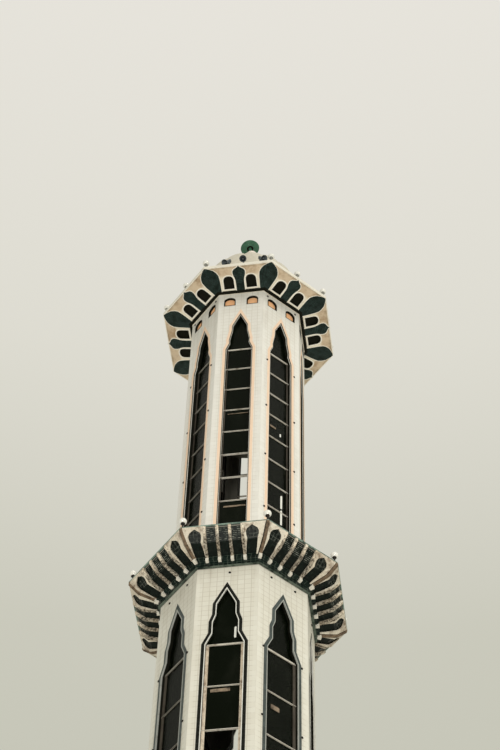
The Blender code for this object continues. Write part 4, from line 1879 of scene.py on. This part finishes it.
def build_finial(finishes: Finishes) -> None:
    """Build the rod with its white ball and the flat ringed bud that leans on it.

    Args:
        finishes: the built materials.
    """
    tip, ball = 32.8603, 33.440
    rod = turned("finial_rod", [
        (0.0, ball), (0.027, ball), (0.027, tip + 0.13), (0.030, tip + 0.10), (0.044, tip + 0.07),
        (0.038, tip + 0.05), (0.050, tip + 0.03), (0.055, tip), (0.0, tip),
    ], 20)
    seat(rod, finishes.green, "finial_green")
    collar = turned("finial_collar", [
        (0.026, ball - 0.100), (0.040, ball - 0.104), (0.046, ball - 0.118), (0.040, ball - 0.134),
        (0.026, ball - 0.138),
    ], 20)
    seat(collar, finishes.iron, "finial_green")
    arc = [math.radians(a) for a in range(16, 165, 8)]
    sphere = turned("finial_ball", [
        (0.027, ball + 0.104), *((0.106 * math.sin(a), ball + 0.106 * math.cos(a)) for a in arc),
        (0.027, ball - 0.104),
    ], 28)
    seat(sphere, finishes.enamel, "finial_white")
    cap = [
        (0.0, 0.600), (0.008, 0.590), (0.015, 0.540), (0.040, 0.470), (0.090, 0.405),
        (0.140, 0.350), (0.170, 0.318), (0.1765, 0.300),
    ]
    rings = []
    for step in range(33):
        share = step / 32
        groove = 0.0055 * (0.5 - 0.5 * math.cos(share * 4 * math.tau))
        rings.append((0.166 - share * 0.100, 0.287 - share * 0.008 + groove))
    leave = [(0.062, 0.290), (0.030, 0.292), (0.030, 0.050), (0.0, 0.050)]
    bud = turned("finial_bud", cap + rings + leave, 36, 25.0)
    lean = Matrix.Rotation(math.radians(9.4), 4, "Z") @ Matrix.Rotation(math.radians(-6.9), 4, "Y")
    bud.data.transform(Matrix.Translation((0, 0, ball)) @ lean)
    seat(bud, finishes.green, "finial_green", "finial")
    eye = turned("eye", [
        (0.031, 0.2835), (0.062, 0.2805), (0.062, 0.2885), (0.031, 0.2905), (0.031, 0.2835),
    ], 28)
    eye.data.transform(Matrix.Translation((0, 0, ball)) @ lean)
    eye.name = eye.data.name = "finial_bud_eye"
    seat(eye, finishes.dark, "finial_green")


@dataclass
class Horn:
    """A horn loudspeaker on its post."""

    name: str
    across: float
    heading: float
    face: int

    def build(self, finishes: Finishes) -> None:
        """Build the post, its yoke and the bell.

        Args:
            finishes: the built materials.
        """
        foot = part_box(self.name)[0][2]
        place = Matrix.Rotation(SECTOR * self.face, 4, "Z") @ Matrix.Translation(
            (self.across, -1.320, foot)
        )
        post = turned("post", [
            (0.0, 0.275), (0.012, 0.275), (0.014, 0.268), (0.014, 0.020), (0.026, 0.016),
            (0.030, 0.010), (0.030, 0.0), (0.0, 0.0),
        ], 14)
        bell = turned("bell", [
            (0.0, 0.128), (0.012, 0.126), (0.020, 0.110), (0.020, 0.040), (0.027, 0.060),
            (0.033, 0.092), (0.044, 0.124), (0.058, 0.146), (0.063, 0.150), (0.063, 0.146),
            (0.050, 0.122), (0.038, 0.088), (0.032, 0.050), (0.030, 0.010), (0.034, 0.004),
            (0.034, -0.010), (0.028, -0.020), (0.0, -0.020),
        ], 28)
        aim = Matrix.Rotation(math.radians(self.heading), 4, "Z")
        droop = Matrix.Rotation(math.radians(142), 4, "X")
        head = place @ aim @ Matrix.Translation((0, 0, 0.275)) @ droop
        yoke = band("yoke", [
            (-0.040, -0.020), (0.040, -0.020), (0.040, 0.030), (-0.040, 0.030)
        ], 0.006, -0.010, 0.010)
        pieces = copied(post, place) + copied(bell, head)
        pieces += copied(yoke, place @ aim @ Matrix.Translation((0, 0, 0.262)))
        seat(joined(f"{self.name}_speaker", pieces), finishes.horn, "horn_metal", self.name)


def dress_frame(frame: dict, finishes: Finishes) -> None:
    """Give the CAD nodes that stay their finishes.

    Args:
        finishes: the built materials.
    """
    for name, node in frame["nodes"].items():
        storey = name.split("_")[0]
        if "_wall_" in name:
            material = finishes.walls[storey]
        elif name.endswith("_stair"):
            material = finishes.stair
        elif name == "dome_drum":
            material = finishes.dome
        elif name == "plinth":
            material = finishes.stone
        else:
            continue
        dress(node, material)


def add_light(name: str, kind: str, colour: Colour, **settings: float) -> Piece:
    """Add a light with its settings.

    Args:
        name: the light's name.
        kind: its type.
        colour: its colour.
        settings: its other values, by name.

    Returns:
        The light.
    """
    bpy.ops.object.light_add(type=kind)
    light = bpy.context.object
    light.name = name
    light.data.color = colour
    for key, value in settings.items():
        setattr(light.data, key, value)
    return light


def build_stage() -> None:
    """Build the floor, the pale sky, the lights and the camera."""
    deselect()
    bpy.ops.mesh.primitive_circle_add(vertices=96, radius=140, fill_type="NGON")
    floor = bpy.context.object
    floor.name = "floor"
    dress(floor, Mottled(
        "floor_paint", (0.72, 0.71, 0.66), (0.68, 0.67, 0.62), (0.64, 0.63, 0.58), 0.1, 0.05
    ).build())
    world = bpy.data.worlds.new("sky")
    bpy.context.scene.world = world
    world.use_nodes = True
    tree = world.node_tree
    coords, split, ramp, behind, right, add = (
        tree.nodes.new(f"ShaderNode{kind}")
        for kind in ("TexCoord", "SeparateXYZ", "ValToRGB", "MapRange", "MapRange", "Math")
    )
    background = tree.nodes["Background"]
    for source, target in (
        (coords.outputs["Generated"], split.inputs[0]), (split.outputs["Z"], ramp.inputs[0]),
        (split.outputs["X"], right.inputs[0]), (split.outputs["Y"], behind.inputs[0]),
        (behind.outputs[0], add.inputs[0]), (right.outputs[0], add.inputs[1]),
        (ramp.outputs[0], background.inputs[0]), (add.outputs[0], background.inputs[1]),
    ):
        tree.links.new(source, target)
    for node, values in ((behind, (-0.5, 0.15, 0.62, 1.0)), (right, (0.25, 0.70, 0.0, 0.45))):
        node.interpolation_type = "SMOOTHSTEP"
        for number, value in enumerate(values, start=1):
            node.inputs[number].default_value = value
    stops = (
        (0.0, (0.62, 0.61, 0.55)), (0.70, (0.560, 0.560, 0.475)), (0.76, (0.590, 0.585, 0.500)),
        (0.845, (0.730, 0.715, 0.640)), (0.93, (0.800, 0.776, 0.716)),
    )
    while len(ramp.color_ramp.elements) < len(stops):
        ramp.color_ramp.elements.new(1.0)
    for element, (position, colour) in zip(ramp.color_ramp.elements, stops):
        element.position = position
        element.color = (*colour, 1.0)
    add_light(
        "soft_key", "SUN", (1.0, 0.965, 0.90), energy=0.9, angle=math.radians(30)
    ).rotation_euler = (math.radians(52), 0, math.radians(38))
    fill = add_light(
        "soft_fill", "AREA", (1.0, 0.975, 0.93), energy=730.0, size=8.0, spread=math.radians(70)
    )
    fill.location = (1, -26, 3.8)
    fill.rotation_euler = (Vector((0, 0, 29)) - fill.location).to_track_quat("-Z", "Y").to_euler()
    fill.visible_camera = False
    bpy.ops.object.camera_add(
        location=(3.01151, -18.25324, 0.8),
        rotation=tuple(math.radians(a) for a in (147.05453, -1.07936, 7.55889)),
    )
    camera = bpy.context.object
    camera.name = "viewpoint"
    settings = dict(
        sensor_fit="VERTICAL", sensor_height=36.0, sensor_width=24.0, lens=95.508, clip_end=400.0
    )
    for name, value in settings.items():
        setattr(camera.data, name, value)
    bpy.context.scene.camera = camera
    bpy.context.scene.view_settings.view_transform = "Standard"


def main() -> None:
    """Build the model's looks in order, from the stage to the finial."""
    logging.basicConfig(level=logging.INFO, format="%(message)s")
    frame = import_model()
    build_stage()
    finishes = Finishes()
    dress_frame(frame, finishes)
    for storey in STOREYS[:3]:
        build_lower_windows(storey, finishes)
    build_upper_windows(STOREYS[3], finishes)
    Niches(STOREYS[3]).build(finishes)
    for storey in STOREYS:
        upper = storey.name == "upper"
        near, high = (0.30, 0.098) if upper else (0.21, 0.12)
        far, first, pitch = (0.28, 2.108, 1.34) if upper else (0.325, 1.655, 1.33)
        spots = [] if upper else [(face, 0.03, 0.125) for face in STRAIGHT]
        for face in DIAGONAL:
            for side in (-1, 1):
                spots.append((face, side * near, high))
                spots += [(face, side * far, first + pitch * k) for k in range(4)]
        Pegs(storey, spots).build(finishes)
    build_landing_edges(finishes)
    for number, (below, above) in enumerate(zip(STOREYS, STOREYS[1:]), start=1):
        Gallery(number, below, above).build(finishes)
        rim = (below.apothem + GALLERY_REACH) / COS_HALF
        LampRing(f"gallery_{number}_lamps", rim, above.floor + 0.0003).build(finishes)
    Canopy().build(finishes)
    roof = STOREYS[3].top + 0.1803
    LampRing("canopy_lamps", 1.5505, roof, 0.110 / 0.6005, True).build(finishes)
    build_dome(finishes)
    build_finial(finishes)
    for name, across, heading, face in (
        ("horn_front", 0.08, 0.0, 0), ("horn_left", -0.17, -60.0, 0),
        ("horn_right", 0.37, 60.0, 0), ("horn_back", 0.20, 0.0, 4),
    ):
        Horn(name, across, heading, face).build(finishes)


if __name__ == "__main__":
    main()
